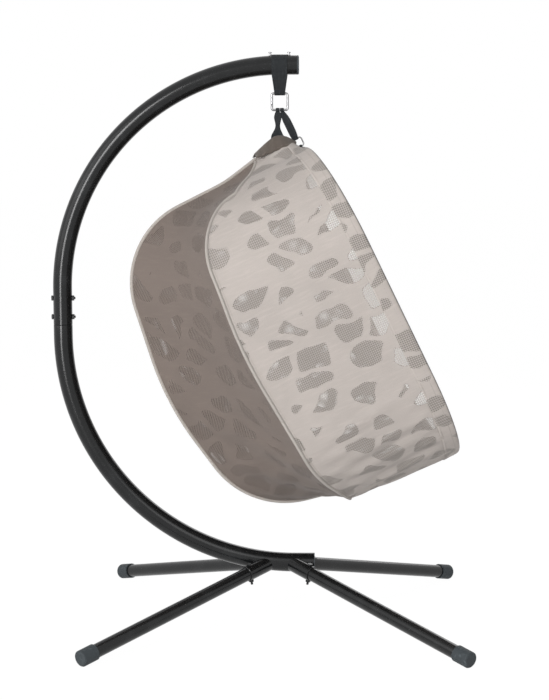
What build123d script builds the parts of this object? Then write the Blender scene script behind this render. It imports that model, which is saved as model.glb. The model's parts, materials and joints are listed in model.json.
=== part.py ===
from build123d import *
import os
from math import atan2, cos, degrees, hypot, radians, sin, sqrt

# Hanging pod chair on a bent-tube stand. Millimetres, +Z up, the chair opens towards +X.
# The origin lies on the floor, under the middle of the box that holds the whole object.
os.makedirs("parts", exist_ok=True)

# Stand: two bent tubes that make the arch
tube_od = 63.5
tube_wall = 2.0
arch_reach = 725.0
upper_bend = 740.0
lower_bend = 775.0
joint_height = 1008.0
upper_straight = 117.0
lower_straight = 37.0
top_overhang = 58.0
hub_overhang = 115.0
spigot_length = 120.0
spigot_clearance = 0.25
shoulder_height = 4.0
cap_dome = 6.0
plug_depth = 14.0
plug_clearance = 0.15

# Stand: fasteners
bolt_d = 8.0
bolt_clearance = 0.3
hex_across = 15.0
head_height = 6.0
nut_height = 7.0
bolt_tail = 4.0
joint_bolt_lifts = (25.0, 88.0)
leg_bolt_tail = 10.0

# Stand: four sloping legs in welded sockets
socket_od = 51.0
leg_offset = 32.0
leg_angle = 47.0
socket_bore_start = 66.0
socket_end = 118.0
leg_od = 45.0
leg_wall = 1.6
leg_clearance = 0.3
leg_bolt_from_end = 18.0
leg_span = 841.0
foot_axis_height = 23.5
foot_cap_od = 53.0
foot_cap_length = 60.0
foot_cap_end = 10.0
foot_cap_round = 7.0
foot_cap_clearance = 0.2

# Hanger: webbing loop on the tube, between two upright stop bolts
hang_offset = 6.0
loop_width = 50.0
loop_bottom_width = 35.0
webbing = 2.4
webbing_clearance = 0.3
loop_drop = 93.0
stop_bolt_d = 6.0
stop_bolt_gap = 3.0
stop_collar_d = 10.0
stop_collar_height = 3.0
stop_shank = 7.0
stop_head_d = 12.0
stop_head_height = 4.0

# Snap hook of bent rod, with a sprung gate on its back side
hook_rod = 8.0
hook_width = 52.0
hook_height = 54.0
hook_corner = 6.0
gate_pivot_rise = 18.5
gate_length = 22.0
gate_gap = 0.4
gate_pin_d = 3.0
gate_pin_clearance = 0.08
tongue = 3.0
tongue_clearance = 0.3

# Bridle straps and the ring at the crown of the front hoop
eye_length = 12.4
eye_spacing = 14.0
strap_width = 30.0
rear_strap_foot = 40.0
d_ring_rod = 5.0
d_ring_width = 38.0
d_ring_height = 30.0
d_ring_corner = 8.0
d_ring_lift = 6.5
ring_eye_length = 20.0
ring_tab_width = 20.0
ring_tab_reach = 62.0
anchor_d = 6.0
anchor_length = 56.0

# Pod: position and attitude, then the fabric shell
chair_turn = 9.5
pod_tilt = 26.0
crown_ahead = 81.0
crown_drop = 121.5
pod_length = 1137.0
pod_width = 800.0
pod_corner = 330.0
bottom_rise = 62.0
fabric = 1.6
fabric_gap = 0.4
hem_width = 55.0
hem_layers = 3.0
hoop_rod = 7.0
hoop_clearance = 0.3
sleeve_od = 15.0

# Pod: seam lines in the middle plane, as distance down from the crown and depth behind the opening
rib_start = 148.0
rib_crown_drop = 22.0
rib_top_depth = 468.0
rib_mid_drop = 470.0
rib_mid_depth = 515.0
rib_low_drop = 930.0
rib_low_depth = 480.0
rib_end_depth = 374.0
rib_top_round = 200.0
rib_mid_round = 1500.0
rib_low_round = 350.0
back_top_depth = 705.0
back_rise = 14.0
back_mid_drop = 560.0
back_mid_depth = 789.0
back_low_drop = 1022.0
back_low_depth = 707.0
back_end_depth = 424.0
back_top_round = 280.0
back_mid_round = 1000.0
back_low_round = 300.0

# Pod: side rib strip in its sleeve, round back rib in its sleeve, and the back panels
rib_strip_width = 8.0
rib_strip_thick = 2.4
rib_sleeve_width = 14.0
rib_sleeve_proud = 3.0
rib_sleeve_depth = 6.0
back_rod = 10.0
back_sleeve_od = 12.0
panel_inset = 4.0
panel_crown = 26.0
panel_end_crown = 4.0
panel_sections = 11
panel_end_share = 0.006

# Crown tab: a folded patch of plain cloth that takes the rear strap
tab_height = 68.0
tab_half_base = 72.0
tab_length = 150.0
tab_top_length = 96.0
tab_cloth = 2.0
tab_front = 12.0

# Places worked out from the sizes
tube_r = tube_od / 2
tube_bore_r = tube_r - tube_wall
spigot_r = tube_bore_r - spigot_clearance
top_z = joint_height + upper_straight + upper_bend
hub_z = joint_height - lower_straight - lower_bend
left_reach = arch_reach + tube_r + head_height
leg_slope = degrees(atan2(hub_z - foot_axis_height, leg_span))
leg_level_x = cos(radians(leg_angle))
leg_level_y = sin(radians(leg_angle))
leg_side = cos(radians(leg_slope)) * leg_level_x
foot_flat_r = foot_cap_od / 2 - foot_cap_round
foot_end = foot_cap_round * (1 - leg_side) + foot_flat_r * sqrt(1 - leg_side**2)
foot_reach = leg_offset + leg_span * leg_level_x + foot_end
base_x = (left_reach - foot_reach) / 2
upright_x = base_x - arch_reach
hang_x = base_x + hang_offset
top_end_x = hang_x + top_overhang
hub_end_x = base_x + hub_overhang
stop_spread = loop_width / 2 + stop_bolt_gap + stop_bolt_d / 2
hook_top_z = top_z - loop_drop
hook_bottom_z = hook_top_z - hook_height
hook_r = hook_rod / 2
crown_height = hook_bottom_z - crown_drop

chair_ahead = Vector(cos(radians(chair_turn)), sin(radians(chair_turn)), 0)
pod_down = chair_ahead * sin(radians(pod_tilt)) - Vector(0, 0, cos(radians(pod_tilt)))
pod_back = chair_ahead * -cos(radians(pod_tilt)) - Vector(0, 0, sin(radians(pod_tilt)))
pod_across = pod_down.cross(pod_back)
crown = Vector(hang_x, 0, crown_height) + chair_ahead * crown_ahead
opening = Plane(origin=crown, x_dir=pod_down, z_dir=pod_back)
middle = Plane(origin=crown, x_dir=pod_down, z_dir=pod_across)


def save(built, name):
    """Label a finished piece and write it under its name."""
    built.part.label = name
    export_step(built.part, f"parts/{name}.step")


def arch_path(start_z, way, bend, end_x):
    """Centre line of one arch tube: a short upright, a quarter bend and a level end."""
    with BuildLine(Plane.XZ) as line:
        upright = Line((upright_x, joint_height), (upright_x, start_z))
        bent = TangentArc(upright @ 1, (upright_x + bend, start_z + way * bend), tangent=(0, way))
        Line(bent @ 1, (end_x, start_z + way * bend))
    return line.wire()


upper_path = arch_path(joint_height + upper_straight, 1, upper_bend, top_end_x)
lower_path = arch_path(joint_height - lower_straight, -1, lower_bend, hub_end_x)


def leg_plane(side_x, side_y, along=0.0):
    """Plane square to one leg's axis, at a distance along it; its X points up the slope's normal."""
    drop = radians(leg_slope)
    level = Vector(side_x * leg_level_x, side_y * leg_level_y, 0)
    out = level * cos(drop) - Vector(0, 0, sin(drop))
    up = level * sin(drop) + Vector(0, 0, cos(drop))
    return Plane(origin=Vector(base_x + side_x * leg_offset, 0, hub_z) + out * along, x_dir=up, z_dir=out)


corners = {
    "front_left": (1, 1),
    "front_right": (1, -1),
    "back_left": (-1, 1),
    "back_right": (-1, -1),
}
leg_bolt_along = socket_end - leg_bolt_from_end
leg_end = leg_span / cos(radians(leg_slope))


# Upper arch tube, with two bolt holes across its lower end
with BuildPart() as upper_arc_tube:
    with BuildSketch(Plane(origin=upper_path @ 0, z_dir=upper_path % 0)):
        Circle(tube_r)
        Circle(tube_bore_r, mode=Mode.SUBTRACT)
    sweep(path=upper_path)
    for lift in joint_bolt_lifts:
        with Locations(Plane.YZ.offset(upright_x) * Pos(0, joint_height + lift)):
            Cylinder(bolt_d / 2 + bolt_clearance, 2 * tube_od, mode=Mode.SUBTRACT)
    with BuildSketch(Plane.XY.offset(top_z)):
        with Locations((hang_x - stop_spread, 0), (hang_x + stop_spread, 0)):
            Circle(stop_bolt_d / 2 + bolt_clearance)
    extrude(amount=tube_od, mode=Mode.SUBTRACT)
save(upper_arc_tube, "upper_arc_tube")

# Lower frame: arch tube with a shouldered spigot on top, and four sockets welded to its level end
with BuildPart() as lower_frame:
    with BuildSketch(Plane(origin=lower_path @ 0, z_dir=lower_path % 0)):
        Circle(tube_r)
    sweep(path=lower_path)
    for side_x, side_y in corners.values():
        with BuildSketch(leg_plane(side_x, side_y)):
            Circle(socket_od / 2)
        extrude(amount=socket_end)
    with BuildSketch(Plane(origin=lower_path @ 0, z_dir=lower_path % 0)):
        Circle(tube_bore_r)
    sweep(path=lower_path, mode=Mode.SUBTRACT)
    for side_x, side_y in corners.values():
        with BuildSketch(leg_plane(side_x, side_y, socket_bore_start)):
            Circle(leg_od / 2 + leg_clearance)
        extrude(amount=socket_end - socket_bore_start, mode=Mode.SUBTRACT)
        bolt_line = leg_plane(side_x, side_y, leg_bolt_along)
        with BuildSketch(Plane(origin=bolt_line.origin, z_dir=bolt_line.x_dir)):
            Circle(bolt_d / 2 + bolt_clearance)
        extrude(amount=socket_od, both=True, mode=Mode.SUBTRACT)
    with BuildSketch(Plane.XZ) as spigot_outline:
        with BuildLine():
            Polyline(
                (upright_x + tube_bore_r - 2 * tube_wall, joint_height - shoulder_height),
                (upright_x + tube_r, joint_height - shoulder_height),
                (upright_x + tube_r, joint_height - shoulder_height / 2),
                (upright_x + spigot_r, joint_height),
                (upright_x + spigot_r, joint_height + spigot_length),
                (upright_x + spigot_r - tube_wall, joint_height + spigot_length),
                (upright_x + spigot_r - tube_wall, joint_height),
                close=True,
            )
        make_face()
    with Locations(Pos(upright_x, 0, joint_height)):
        Cylinder(2 * tube_r, shoulder_height, mode=Mode.SUBTRACT)
    revolve(spigot_outline.sketch, axis=Axis((upright_x, 0, 0), (0, 0, 1)))
    for lift in joint_bolt_lifts:
        with Locations(Plane.YZ.offset(upright_x) * Pos(0, joint_height + lift)):
            Cylinder(bolt_d / 2 + bolt_clearance, 2 * tube_od, mode=Mode.SUBTRACT)
save(lower_frame, "lower_frame")


def plug(end_plane, dome):
    """Plastic plug for an open tube end: a cup in the bore, a rim on the tube's edge and a domed face."""
    fit_r = tube_bore_r - plug_clearance
    with BuildPart() as built:
        with BuildSketch(end_plane):
            Circle(tube_r)
        extrude(amount=dome)
        fillet(built.edges().filter_by(GeomType.CIRCLE).sort_by(SortBy.DISTANCE)[-1:], dome * 0.7)
        with BuildSketch(end_plane):
            Circle(fit_r)
            Circle(fit_r - tube_wall, mode=Mode.SUBTRACT)
        extrude(amount=-plug_depth)
    return built


save(plug(Plane(origin=(top_end_x, 0, top_z), z_dir=(1, 0, 0)), cap_dome), "arc_end_cap")
save(plug(Plane(origin=(hub_end_x, 0, hub_z), z_dir=(1, 0, 0)), tube_wall), "hub_end_plug")

# Cross bolts of the arch joint, heads on the outside of the arch and nuts on the inside
with BuildPart() as arc_joint_bolts:
    for lift in joint_bolt_lifts:
        head = Plane(origin=(upright_x - tube_r, 0, joint_height + lift), z_dir=(1, 0, 0))
        with BuildSketch(head):
            RegularPolygon(hex_across / 2, 6, major_radius=False)
        extrude(amount=-head_height)
        with BuildSketch(head):
            Circle(bolt_d / 2)
        extrude(amount=tube_od + nut_height + bolt_tail)
save(arc_joint_bolts, "arc_joint_bolts")

with BuildPart() as arc_joint_nuts:
    for lift in joint_bolt_lifts:
        with BuildSketch(Plane(origin=(upright_x + tube_r, 0, joint_height + lift), z_dir=(1, 0, 0))):
            RegularPolygon(hex_across / 2, 6, major_radius=False)
            Circle(bolt_d / 2, mode=Mode.SUBTRACT)
        extrude(amount=nut_height)
save(arc_joint_nuts, "arc_joint_nuts")

# Legs: plain tubes drilled for the socket bolts, each with a moulded cap that is flat where it stands
for corner, (side_x, side_y) in corners.items():
    with BuildPart() as leg:
        with BuildSketch(leg_plane(side_x, side_y, socket_bore_start + leg_clearance)):
            Circle(leg_od / 2)
            Circle(leg_od / 2 - leg_wall, mode=Mode.SUBTRACT)
        extrude(amount=leg_end - foot_cap_end - foot_cap_clearance - socket_bore_start - leg_clearance)
        bolt_line = leg_plane(side_x, side_y, leg_bolt_along)
        with BuildSketch(Plane(origin=bolt_line.origin, z_dir=bolt_line.x_dir)):
            Circle(bolt_d / 2 + bolt_clearance)
        extrude(amount=socket_od, both=True, mode=Mode.SUBTRACT)
    save(leg, f"leg_{corner}")

    with BuildPart() as foot_cap:
        with BuildSketch(leg_plane(side_x, side_y, leg_end - foot_cap_length)):
            Circle(foot_cap_od / 2)
        extrude(amount=foot_cap_length)
        fillet(foot_cap.edges().filter_by(GeomType.CIRCLE).sort_by(Axis.Z)[:1], foot_cap_round)
        with BuildSketch(leg_plane(side_x, side_y, leg_end - foot_cap_length)):
            Circle(leg_od / 2 + foot_cap_clearance)
        extrude(amount=foot_cap_length - foot_cap_end, mode=Mode.SUBTRACT)
        split(bisect_by=Plane.XY, keep=Keep.TOP)
    save(foot_cap, f"foot_cap_{corner}")

with BuildPart() as leg_bolts:
    for side_x, side_y in corners.values():
        bolt_line = leg_plane(side_x, side_y, leg_bolt_along)
        head = Plane(origin=bolt_line.origin + bolt_line.x_dir * (socket_od / 2), z_dir=bolt_line.x_dir)
        with BuildSketch(head):
            RegularPolygon(hex_across / 2, 6, major_radius=False)
        extrude(amount=head_height)
        with BuildSketch(head):
            Circle(bolt_d / 2)
        extrude(amount=-socket_od - nut_height - leg_bolt_tail)
save(leg_bolts, "leg_bolts")

with BuildPart() as leg_nuts:
    for side_x, side_y in corners.values():
        bolt_line = leg_plane(side_x, side_y, leg_bolt_along)
        seat = bolt_line.origin - bolt_line.x_dir * (socket_od / 2)
        with BuildSketch(Plane(origin=seat, z_dir=bolt_line.x_dir)):
            RegularPolygon(hex_across / 2, 6, major_radius=False)
            Circle(bolt_d / 2, mode=Mode.SUBTRACT)
        extrude(amount=-nut_height)
save(leg_nuts, "leg_nuts")

# Stop bolts that keep the webbing loop in its place on the tube
with BuildPart() as strap_stop_bolts:
    for part_r, low, high in (
        (stop_bolt_d / 2, tube_bore_r - stop_bolt_d, tube_r + stop_shank),
        (stop_collar_d / 2, tube_r, tube_r + stop_collar_height),
        (stop_head_d / 2, tube_r + stop_shank, tube_r + stop_shank + stop_head_height),
    ):
        with BuildSketch(Plane.XY.offset(top_z + low)):
            with Locations((hang_x - stop_spread, 0), (hang_x + stop_spread, 0)):
                Circle(part_r)
        extrude(amount=high - low)
    crowns = strap_stop_bolts.edges().filter_by(GeomType.CIRCLE).group_by(Axis.Z)[-1]
    fillet(crowns, stop_head_height * 0.6)
save(strap_stop_bolts, "strap_stop_bolts")


def belt(round_r, hook_side_r):
    """Outline of a belt round the stand tube and the rod that hangs in it."""
    with BuildSketch(Plane.YZ.offset(hang_x)) as outline:
        with Locations((0, top_z)):
            Circle(round_r)
        with Locations((0, hook_top_z)):
            Circle(hook_side_r)
        make_hull()
    return outline.sketch


# Webbing loop: a belt round the tube that narrows towards the hook
inner_r = tube_r + webbing_clearance
inner_hook_r = hook_r + webbing_clearance
with BuildPart() as hanger_loop:
    extrude(belt(inner_r + webbing, inner_hook_r + webbing), amount=loop_width / 2, both=True)
    extrude(belt(inner_r, inner_hook_r), amount=loop_width, both=True, mode=Mode.SUBTRACT)
    with BuildSketch(Plane.XZ.offset(-tube_od)):
        with BuildLine():
            Polyline(
                (hang_x - loop_width / 2, top_z + 2 * tube_r),
                (hang_x - loop_width / 2, top_z - tube_r),
                (hang_x - loop_bottom_width / 2, hook_top_z - 2 * hook_rod),
                (hang_x + loop_bottom_width / 2, hook_top_z - 2 * hook_rod),
                (hang_x + loop_width / 2, top_z - tube_r),
                (hang_x + loop_width / 2, top_z + 2 * tube_r),
                close=True,
            )
        make_face()
    extrude(amount=2 * tube_od, mode=Mode.INTERSECT)
save(hanger_loop, "hanger_loop")

# Snap hook: one bent rod, open on the back side, with a flat tongue for the gate
gate_x = hang_x - hook_width / 2
pivot_z = hook_bottom_z + gate_pivot_rise
nose_z = pivot_z + gate_length
with BuildPart() as hook_body:
    with BuildLine(Plane.XZ) as hook_line:
        FilletPolyline(
            (gate_x, nose_z + gate_gap),
            (gate_x, hook_top_z),
            (gate_x + hook_width, hook_top_z),
            (gate_x + hook_width, hook_bottom_z),
            (gate_x, hook_bottom_z),
            (gate_x, pivot_z - hook_r - gate_gap),
            radius=hook_corner,
        )
    with BuildSketch(Plane(origin=hook_line.wire() @ 0, z_dir=hook_line.wire() % 0)):
        Circle(hook_r)
    sweep(path=hook_line.wire())
    with BuildSketch(Plane.XZ.offset(-tongue / 2)):
        with Locations((gate_x, pivot_z)):
            Circle(hook_r - gate_gap)
        with Locations((gate_x, pivot_z - hook_r / 2 - gate_gap)):
            Rectangle(2 * (hook_r - gate_gap), hook_r + 2 * gate_gap)
        with Locations((gate_x, pivot_z)):
            Circle(gate_pin_d / 2, mode=Mode.SUBTRACT)
    extrude(amount=tongue)
save(hook_body, "hook_body")

with BuildPart() as hook_gate:
    with BuildSketch(Plane.XZ):
        with BuildLine():
            round_end = CenterArc((gate_x, pivot_z), hook_r, -90, 90)
            Polyline(round_end @ 1, (gate_x + hook_r, nose_z), (gate_x, nose_z), round_end @ 0)
        make_face()
    revolve(axis=Axis((gate_x, 0, 0), (0, 0, 1)))
    with BuildSketch(Plane.XZ.offset(-tongue / 2 - tongue_clearance)):
        with Locations((gate_x, pivot_z)):
            Rectangle(2 * hook_rod, 2 * hook_rod)
    extrude(amount=tongue + 2 * tongue_clearance, mode=Mode.SUBTRACT)
    with BuildSketch(Plane.XZ.offset(-hook_rod)):
        with Locations((gate_x, pivot_z)):
            Circle(gate_pin_d / 2 + gate_pin_clearance)
    extrude(amount=2 * hook_rod, mode=Mode.SUBTRACT)
save(hook_gate, "hook_gate")

with BuildPart() as hook_gate_pin:
    with BuildSketch(Plane.XZ.offset(-hook_r)):
        with Locations((gate_x, pivot_z)):
            Circle(gate_pin_d / 2)
    extrude(amount=hook_rod)
save(hook_gate_pin, "hook_gate_pin")


def in_pod(drop, depth, side=0.0):
    """Point of the pod from its drop below the crown, depth behind the opening and distance to one side."""
    return crown + pod_down * drop + pod_back * depth + pod_across * side


# Ring at the crown of the front hoop: a D-like loop of rod that stands up along the strap's pull
ring_depth = sleeve_od
with BuildSketch(middle) as ring_outline:
    with Locations((-d_ring_lift - d_ring_height / 2, ring_depth)):
        RectangleRounded(d_ring_height, d_ring_width, d_ring_corner)
ring_path = ring_outline.sketch.faces()[0].outer_wire()
with BuildPart() as front_d_ring:
    with BuildSketch(Plane(origin=ring_path @ 0, z_dir=ring_path % 0)):
        Circle(d_ring_rod / 2)
    sweep(path=ring_path)
save(front_d_ring, "front_d_ring")

# Tab that holds the ring: webbing folded round the ring's bar, with one leg to each side of the crown
tab_r = d_ring_rod / 2 + webbing_clearance
with BuildPart() as front_ring_tab:
    with BuildSketch(opening.offset(ring_depth - ring_tab_width / 2)):
        with Locations((-d_ring_lift, 0)):
            Circle(tab_r + webbing)
        with Locations((-webbing_clearance - webbing / 2, 0)):
            Rectangle(webbing, 2 * ring_tab_reach)
        with Locations((-d_ring_lift, 0)):
            Circle(tab_r, mode=Mode.SUBTRACT)
    extrude(amount=ring_tab_width)
save(front_ring_tab, "front_ring_tab")


def strap_section(centre, wide_way, way, width):
    """Flat section of a webbing strap, square to the strap's way."""
    with BuildSketch(Plane(origin=centre, x_dir=wide_way, z_dir=way)) as section:
        Rectangle(width, webbing)
    return section.sketch


def strap_eye(centre, way, inner, length):
    """Ring section of a strap's bunched eye, at the near end of the stretch of rod that it takes."""
    with BuildSketch(Plane(origin=centre - way * (length / 2), z_dir=way)) as section:
        Circle(inner + webbing)
        Circle(inner, mode=Mode.SUBTRACT)
    return section.sketch


front_eye = Vector(hang_x + eye_spacing / 2, 0, hook_bottom_z)
rear_eye = Vector(hang_x - eye_spacing / 2, 0, hook_bottom_z)
level = Vector(1, 0, 0)
ring_eye_r = d_ring_rod / 2 + webbing_clearance
ring_eye = in_pod(-d_ring_lift - d_ring_height, ring_depth)
below_hook = inner_hook_r + webbing / 2
above_ring = ring_eye_r + webbing / 2

strap_start = front_eye - Vector(0, 0, below_hook)
strap_stop = ring_eye - pod_down * above_ring
strap_way = (strap_stop - strap_start).normalized()
with BuildPart() as front_strap:
    extrude(strap_eye(front_eye, level, inner_hook_r, eye_length), amount=eye_length)
    extrude(strap_eye(ring_eye, pod_back, ring_eye_r, ring_eye_length), amount=ring_eye_length)
    loft(
        [
            strap_section(strap_start, level, Vector(0, 0, -1), eye_length),
            strap_section(strap_start * 0.6 + strap_stop * 0.4, level - pod_back, strap_way, strap_width),
            strap_section(strap_stop, -pod_back, pod_down, ring_eye_length),
        ]
    )
save(front_strap, "front_strap")

tab_middle = tab_front + tab_length / 2
tab_ridge = in_pod(-tab_height, tab_middle)
anchor = in_pod(-tab_height + 2 * anchor_d, tab_middle)
rear_start = rear_eye - Vector(0, 0, below_hook)
rear_way = (tab_ridge - rear_start).normalized()
with BuildPart() as rear_strap:
    extrude(strap_eye(rear_eye, level, inner_hook_r, eye_length), amount=eye_length)
    loft(
        [
            strap_section(rear_start, level, Vector(0, 0, -1), eye_length),
            strap_section((rear_start + tab_ridge) * 0.5, level - pod_back, rear_way, strap_width / 2),
            strap_section(tab_ridge, -pod_back, pod_down, rear_strap_foot),
        ]
    )
    extrude(strap_section(tab_ridge, -pod_back, pod_down, rear_strap_foot), amount=2 * anchor_d)
    with BuildSketch(Plane(origin=anchor - pod_back * (anchor_length / 2), z_dir=pod_back)):
        Circle(anchor_d / 2)
    extrude(amount=anchor_length)
save(rear_strap, "rear_strap")

# Crown tab: an upside-down V of doubled cloth, shorter along its ridge, slit for the rear strap
with BuildPart() as crown_tab:
    with BuildSketch(opening.offset(tab_front)):
        with BuildLine():
            Polyline(
                (-webbing_clearance, -tab_half_base),
                (-tab_height, 0),
                (-webbing_clearance, tab_half_base),
                (-webbing_clearance, tab_half_base - 2 * tab_cloth),
                (-tab_height + 2 * tab_cloth, 0),
                (-webbing_clearance, -tab_half_base + 2 * tab_cloth),
                close=True,
            )
        make_face()
    extrude(amount=tab_length)
    ridge_cut = (tab_length - tab_top_length) / 2
    with BuildSketch(middle.offset(-tab_half_base)):
        with BuildLine():
            Polyline(
                (0, tab_front),
                (-tab_height, tab_front + ridge_cut),
                (-tab_height, tab_front + tab_length - ridge_cut),
                (0, tab_front + tab_length),
                close=True,
            )
        make_face()
    extrude(amount=2 * tab_half_base, mode=Mode.INTERSECT)
    with BuildSketch(Plane(origin=tab_ridge, x_dir=pod_back, z_dir=pod_down)):
        Rectangle(rear_strap_foot + 4 * webbing, webbing + 2 * webbing_clearance)
    extrude(amount=2 * anchor_d, both=True, mode=Mode.SUBTRACT)
save(crown_tab, "crown_tab")


# Front hoop: a closed ring of rod that holds the opening, inside a sewn hem
sleeve_r = sleeve_od / 2
with BuildSketch(opening.offset(sleeve_r)) as hoop_outline:
    with Locations((pod_length / 2, 0)):
        RectangleRounded(pod_length - sleeve_od, pod_width - sleeve_od, pod_corner - sleeve_r)
hoop_path = hoop_outline.sketch.faces()[0].outer_wire()
hoop_start = Plane(origin=hoop_path @ 0, x_dir=pod_back, z_dir=hoop_path % 0)
outward = 1 if (hoop_start.y_dir).dot((hoop_path @ 0) - in_pod(pod_length / 2, sleeve_r)) > 0 else -1

with BuildPart() as front_hoop:
    with BuildSketch(hoop_start):
        Circle(hoop_rod / 2)
    sweep(path=hoop_path)
save(front_hoop, "front_hoop")

with BuildPart() as front_hem:
    with BuildSketch(hoop_start):
        Circle(sleeve_r)
        with Locations(((hem_width - sleeve_r) / 2, outward * (sleeve_r - hem_layers / 2))):
            Rectangle(hem_width - sleeve_r, hem_layers)
        Circle(hoop_rod / 2 + hoop_clearance, mode=Mode.SUBTRACT)
    sweep(path=hoop_path)
save(front_hem, "front_hem")


rib_rounds = [rib_top_round, rib_mid_round, rib_low_round]


def rib_points(end_drop):
    """Corners of the seam between side and back panels, seen from the side, down to a given drop."""
    slope = (rib_end_depth - rib_low_depth) / (pod_length - rib_low_drop)
    return [
        (rib_crown_drop, rib_start),
        (rib_crown_drop, rib_top_depth),
        (rib_mid_drop, rib_mid_depth),
        (rib_low_drop, rib_low_depth),
        (end_drop, rib_low_depth + slope * (end_drop - rib_low_drop)),
    ]


one_side = middle.offset(-pod_width)


def rib_band(width):
    """Strip of a given width along the rib seam, pushed right across the pod."""
    with BuildPart() as band:
        with BuildSketch(one_side):
            with BuildLine():
                FilletPolyline(*rib_points(pod_length + rib_sleeve_width), radius=rib_rounds)
            trace(line_width=width)
        extrude(amount=2 * pod_width)
    return band.part


def outline_length(depth):
    """Length of the pod's outline at a depth: the bottom wall rises evenly behind the hem."""
    return pod_length - bottom_rise * (depth - wall_front) / (back_mid_depth - wall_front)


def outline_face(depth, grown):
    """The pod's outline at a depth, grown by an even offset."""
    length = outline_length(depth)
    with BuildSketch(opening.offset(depth)) as face:
        with Locations((length / 2, 0)):
            RectangleRounded(length + 2 * grown, pod_width + 2 * grown, pod_corner + grown)
    return face.sketch


def pod_skin(outside, inside):
    """Tube of the pod's outline between two even offsets, from the hem to the back's deepest point."""
    with BuildPart() as skin:
        for grown, mode in ((outside, Mode.ADD), (inside, Mode.SUBTRACT)):
            loft([outline_face(wall_front, grown), outline_face(back_mid_depth, grown)], ruled=True, mode=mode)
    return skin.part


# Side panels: the pod's wall from the hem to the rib seam, cut in two along the middle plane
wall_front = hem_width + fabric_gap
with BuildPart() as pod_wall:
    add(pod_skin(0, -fabric))
    with BuildSketch(one_side):
        with BuildLine():
            seam = FilletPolyline(*rib_points(pod_length + rib_sleeve_width), radius=rib_rounds)
            Polyline(
                seam @ 0,
                (-pod_corner, rib_start),
                (-pod_corner, 0),
                (pod_length + pod_corner, 0),
                (pod_length + pod_corner, (seam @ 1).Y),
                seam @ 1,
            )
        make_face()
    extrude(amount=2 * pod_width, mode=Mode.INTERSECT)
    add(rib_band(rib_sleeve_width + 2 * fabric_gap), mode=Mode.SUBTRACT)

for side, keep in (("left", Keep.TOP), ("right", Keep.BOTTOM)):
    with BuildPart() as side_panel:
        add(pod_wall.part)
        split(bisect_by=middle, keep=keep)
    save(side_panel, f"side_panel_{side}")

# Side rib: a flat spring strip that follows the wall, inside its piping sleeve
strip_outer = (rib_sleeve_proud - rib_sleeve_depth + rib_strip_thick) / 2
strip_inner = strip_outer - rib_strip_thick


def rib_piece(outside, inside, width):
    """Length of strip that follows the pod's wall along the rib seam."""
    with BuildPart() as piece:
        add(pod_skin(outside, inside))
        add(rib_band(width), mode=Mode.INTERSECT)
    return piece.part


with BuildPart() as side_rib:
    add(rib_piece(strip_outer, strip_inner, rib_strip_width))
save(side_rib, "side_rib")

channel = rib_piece(strip_outer + fabric_gap, strip_inner - fabric_gap, rib_strip_width + 2 * fabric_gap)
with BuildPart() as side_rib_sleeve:
    add(rib_piece(rib_sleeve_proud, -rib_sleeve_depth, rib_sleeve_width))
    add(channel, mode=Mode.SUBTRACT)
save(side_rib_sleeve, "side_rib_sleeve")

# Back rib: a round rod down the middle of the back, in its sleeve
back_drop = back_sleeve_od / 2
with BuildLine(middle) as back_seam:
    FilletPolyline(
        (back_drop - back_rise, tab_front + tab_length),
        (back_drop - back_rise, back_top_depth),
        (back_mid_drop, back_mid_depth),
        (back_low_drop, back_low_depth),
        (outline_length(back_end_depth) - rib_sleeve_depth - back_sleeve_od, back_end_depth),
        radius=[back_top_round, back_mid_round, back_low_round],
    )
back_path = back_seam.wire()

with BuildPart() as back_rib:
    with BuildSketch(Plane(origin=back_path @ 0, z_dir=back_path % 0)):
        Circle(back_rod / 2)
    sweep(path=back_path)
save(back_rib, "back_rib")

with BuildPart() as back_rib_sleeve:
    with BuildSketch(Plane(origin=back_path @ 0, z_dir=back_path % 0)):
        Circle(back_sleeve_od / 2)
        Circle(back_rod / 2 + hoop_clearance, mode=Mode.SUBTRACT)
    sweep(path=back_path)
save(back_rib_sleeve, "back_rib_sleeve")


def half_width(drop, depth):
    """Half of the pod's outline at a drop below the crown and a depth behind the opening."""
    near_end = min(drop, outline_length(depth) - drop)
    flat = pod_width / 2 - pod_corner
    if near_end >= pod_corner:
        return pod_width / 2
    return flat + sqrt(pod_corner**2 - (pod_corner - max(near_end, 0)) ** 2)


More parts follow.
